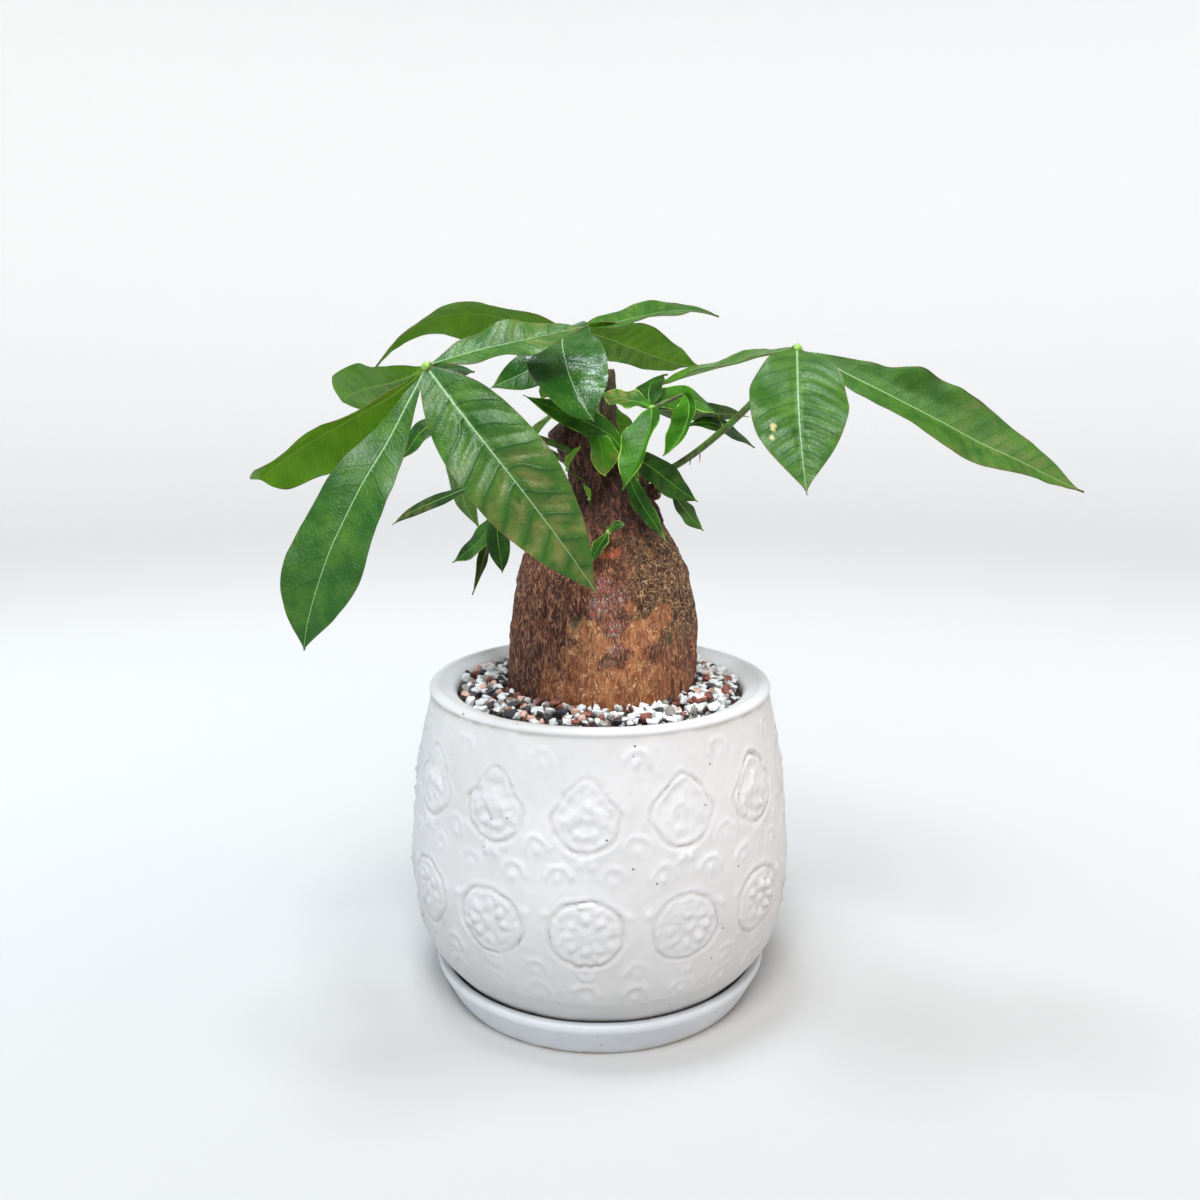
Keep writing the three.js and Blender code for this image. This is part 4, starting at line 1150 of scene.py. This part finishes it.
def add_leaflet(shape, hub, leaflet, seed):
    """One leaflet: a thin blade with a midrib, quilted between its veins and wavy at its edge."""
    root = leaflet.route[0] if len(leaflet.route) > 3 else hub
    large = leaflet.width > BLADE["large_width"]
    rows, columns = (132, 44) if large else (48, 20)
    s = np.linspace(0, 1, rows + 1)**0.95
    point, side, up, half, outline = blade_spine(leaflet, root, s)
    length = np.linalg.norm(np.diff(point, axis=0), axis=1).sum()
    ss, tt = s[:, None], np.linspace(-1, 1, columns + 1)[None]
    slope = math.radians(leaflet.fold)
    out = tt * half * math.cos(slope)
    centre = point[:, None] + side[:, None] * out[..., None]
    flat = centre.reshape(-1, 3)

    def dented(size, kind):
        return noise(flat, size, kind + seed).reshape(out.shape)

    # Where the side veins run, and the relief of the blade
    lag = 0.62 * np.abs(tt)**1.25 * half / length
    pairs = round(length / (leaflet.spacing if large else 5))
    phase = pairs * (ss - lag) + 0.15 * math.sin(seed) + 0.22 * dented(9, 30)
    vein = np.abs(np.sin(np.pi * (phase + 0.5 + 0.4 * (tt > 0))))
    fade = smooth_step(0.02, 0.22, np.abs(tt)) * (1 - tt**4) * np.sin(np.pi * np.clip(ss, 0, 1))**0.5
    bulge = leaflet.quilt * vein**0.6 * fade * half / half.max() * (1 + 0.5 * dented(8, 50))
    bulge = bulge + 0.12 * leaflet.quilt * dented(3.6, 60) * fade
    grown = min(leaflet.width / 24, 1.2)
    waver = 0.6 * dented(14, 70) * grown * smooth_step(0, 0.2, ss)
    crimp = 0.4 * dented(4.5, 90) * tt**4 * grown
    ripple = BLADE["wave"] * leaflet.width * outline * tt**2
    ripple = ripple * np.sin(BLADE["waves"] * 2 * np.pi * ss + tt)
    curled = leaflet.curl * smooth_step(0.4, 1, -tt) * ridge(ss - 0.42, 0.13) * (1 + 0.9 * dented(7, 95))
    folded = (np.sqrt(tt**2 + 0.01) - 0.1) * half * math.sin(slope)
    rise = folded + ripple + bulge + waver + crimp + curled
    thick = BLADE["edge"] + (BLADE["thickness"] - BLADE["edge"]) * (1 - tt**2)
    rib_half = (0.3 + leaflet.width / 75) * (1 - 0.75 * ss) + 0 * tt
    rib = ridge(tt * half / rib_half, 1.0)
    keel = (0.35 + 0.3 * (1 - ss)) * rib * grown
    upper = centre + up[:, None] * (rise + thick / 2 + 0.15 * rib)[..., None]
    lower = centre + up[:, None] * (rise - thick / 2 - keel)[..., None]

    olive = smooth_step(0.3, 0.6, ss) * smooth_step(0.35, 0.6, ss + 0.3 * dented(9, 110))
    same = np.ones(out.shape)
    paint = {"across": tt * same, "phase": phase, "off_rib": np.abs(tt) * half, "dry": dry_spots(flat),
             "to_edge": (1 - np.abs(tt)) * half, "rib_half": rib_half * 0.52,
             "olive": OLIVE.get(leaflet.name, 0) * olive, "tone": leaflet.tone * same,
             "quilted": min(leaflet.quilt / 1.1, 1) * same, "gloss": leaflet.gloss * same}
    faces = grid_faces(rows + 1, columns + 1)
    above = shape.count
    shape.add(upper, [face[::-1] for face in faces], 0, **paint)
    below = shape.count
    shape.add(lower, faces, 1, **paint)
    join_edges(shape, above, below, rows, columns)


def add_stem(shape, stem, seed):
    """A stalk with a knobbly hub and the leaflets that grow from it, or a dry twig."""
    route = spline(stem.stalk, 40)
    t = np.linspace(0, 1, len(route))
    if not stem.leaflets:
        shape.add(*tube(route, stem.radius * (1 - 0.7 * t), 12), 4)
        return
    hub = stem.stalk[-1]
    for number, leaflet in enumerate(stem.leaflets):
        add_leaflet(shape, hub, leaflet, seed + number)
        if len(leaflet.route) > 3:
            link = evenly([hub, leaflet.route[0]], 1)
            shape.add(*tube(link, np.linspace(0.8, 0.6, len(link)), 10), 2)
    swollen = 1 + 0.55 * ridge(t - 1, 0.07) + 0.3 * ridge(t, 0.15)
    shape.add(*tube(route, stem.radius * swollen, 12), 2)
    knot = bmesh.new()
    bmesh.ops.create_icosphere(knot, subdivisions=3, radius=stem.radius * 1.4)
    spots = np.array([v.co for v in knot.verts])
    spots *= (1 + 0.18 * noise(spots, 1.1, seed))[:, None]
    shape.add(spots + hub, faces_of(knot), 3)
    knot.free()


def make_leaf(name, stem, seed):
    """A leaf or shoot, with the sprouts beside it."""
    shape = Shape()
    for number, part in enumerate([stem, *SPROUTS.get(name, [])]):
        add_stem(shape, part, seed + 7 * number)
    old = name.startswith("leaf")
    finishes = ["top" if old else "young_top", "under" if old else "young_under", "stalk", "hub", "twig"]
    piece = shape.build(f"{name}_blades", [FINISH[k] for k in finishes], sharp=60)
    return belongs(piece, "leaf" if old else "young_leaf", name)


# ---- The object ---------------------------------------------------------------------

make_saucer()
make_pot()
make_gravel()
make_bed()
make_trunk()
for number, (name, stem) in enumerate(LEAVES.items()):
    make_leaf(name, stem, 11 * number)

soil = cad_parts["soil"]
soil.data.materials.clear()
soil.data.materials.append(FINISH["soil"])

# ---- Stage, light and camera --------------------------------------------------------


def make_stage():
    """A pale round floor that curves up into a wall far away, painted darker near the object and paler far
    off as painted shade and light, with the far floor and wall glowing as painted light.
    """
    f = Finish("studio_floor", Roughness=0.9, Specular_IOR_Level=0.1)
    centre = {0: f.place, 1: (0, -0.25, 0)}
    distance = f.node("ShaderNodeVectorMath", centre, operation="DISTANCE").outputs["Value"]
    f.colour(f.mix(f.step(distance, 0.0, 1.1), STUDIO["near"], STUDIO["far"]))
    glow = f.times(f.step(distance, 0.6, 3.2), STUDIO["glow"])
    f.feed(f.shader.inputs["Emission Strength"], glow)
    profile = rounded([(0, 0), (2600, 0), (3600, 2200)], 1200, 32)
    profile = np.vstack([[(0, 0)], evenly(profile, 60)[1:]])
    shape = Shape()
    faces = grid_faces(len(profile), ROUND["floor"], wrap=True)
    shape.add(turned_points(profile, around(ROUND["floor"])), [face[::-1] for face in faces])
    floor = shape.build("studio_floor", [f.material])
    merge_doubles(floor)


def make_air():
    world = bpy.data.worlds.new("studio_air")
    world.use_nodes = True
    air = world.node_tree.nodes["Background"]
    air.inputs["Color"].default_value = STUDIO["air"]
    air.inputs["Strength"].default_value = STUDIO["air_strength"]
    bpy.context.scene.world = world


def add_light(name, place, size, power, colour):
    data = bpy.data.lights.new(name, "AREA")
    data.shape = "DISK"
    data.size = size * MM
    data.energy = power
    data.color = colour
    lamp = bpy.data.objects.new(name, data)
    lamp.location = Vector(place) * MM
    lamp.rotation_euler = (Vector(LIGHTS_AIM) - Vector(place)).to_track_quat("-Z", "Y").to_euler()
    bpy.context.collection.objects.link(lamp)


def make_camera():
    data = bpy.data.cameras.new("camera")
    data.sensor_width = 36
    data.lens = CAMERA["focus"] / CAMERA["image"] * data.sensor_width
    data.clip_start = 0.01
    camera = bpy.data.objects.new("camera", data)
    camera.location = Vector(CAMERA["place"]) * MM
    camera.rotation_euler = (math.radians(90 - CAMERA["down"]), 0, 0)
    bpy.context.collection.objects.link(camera)
    bpy.context.scene.camera = camera


make_stage()
make_air()
for light in LIGHTS:
    add_light(*light)
make_camera()
bpy.context.scene.view_settings.view_transform = "Standard"
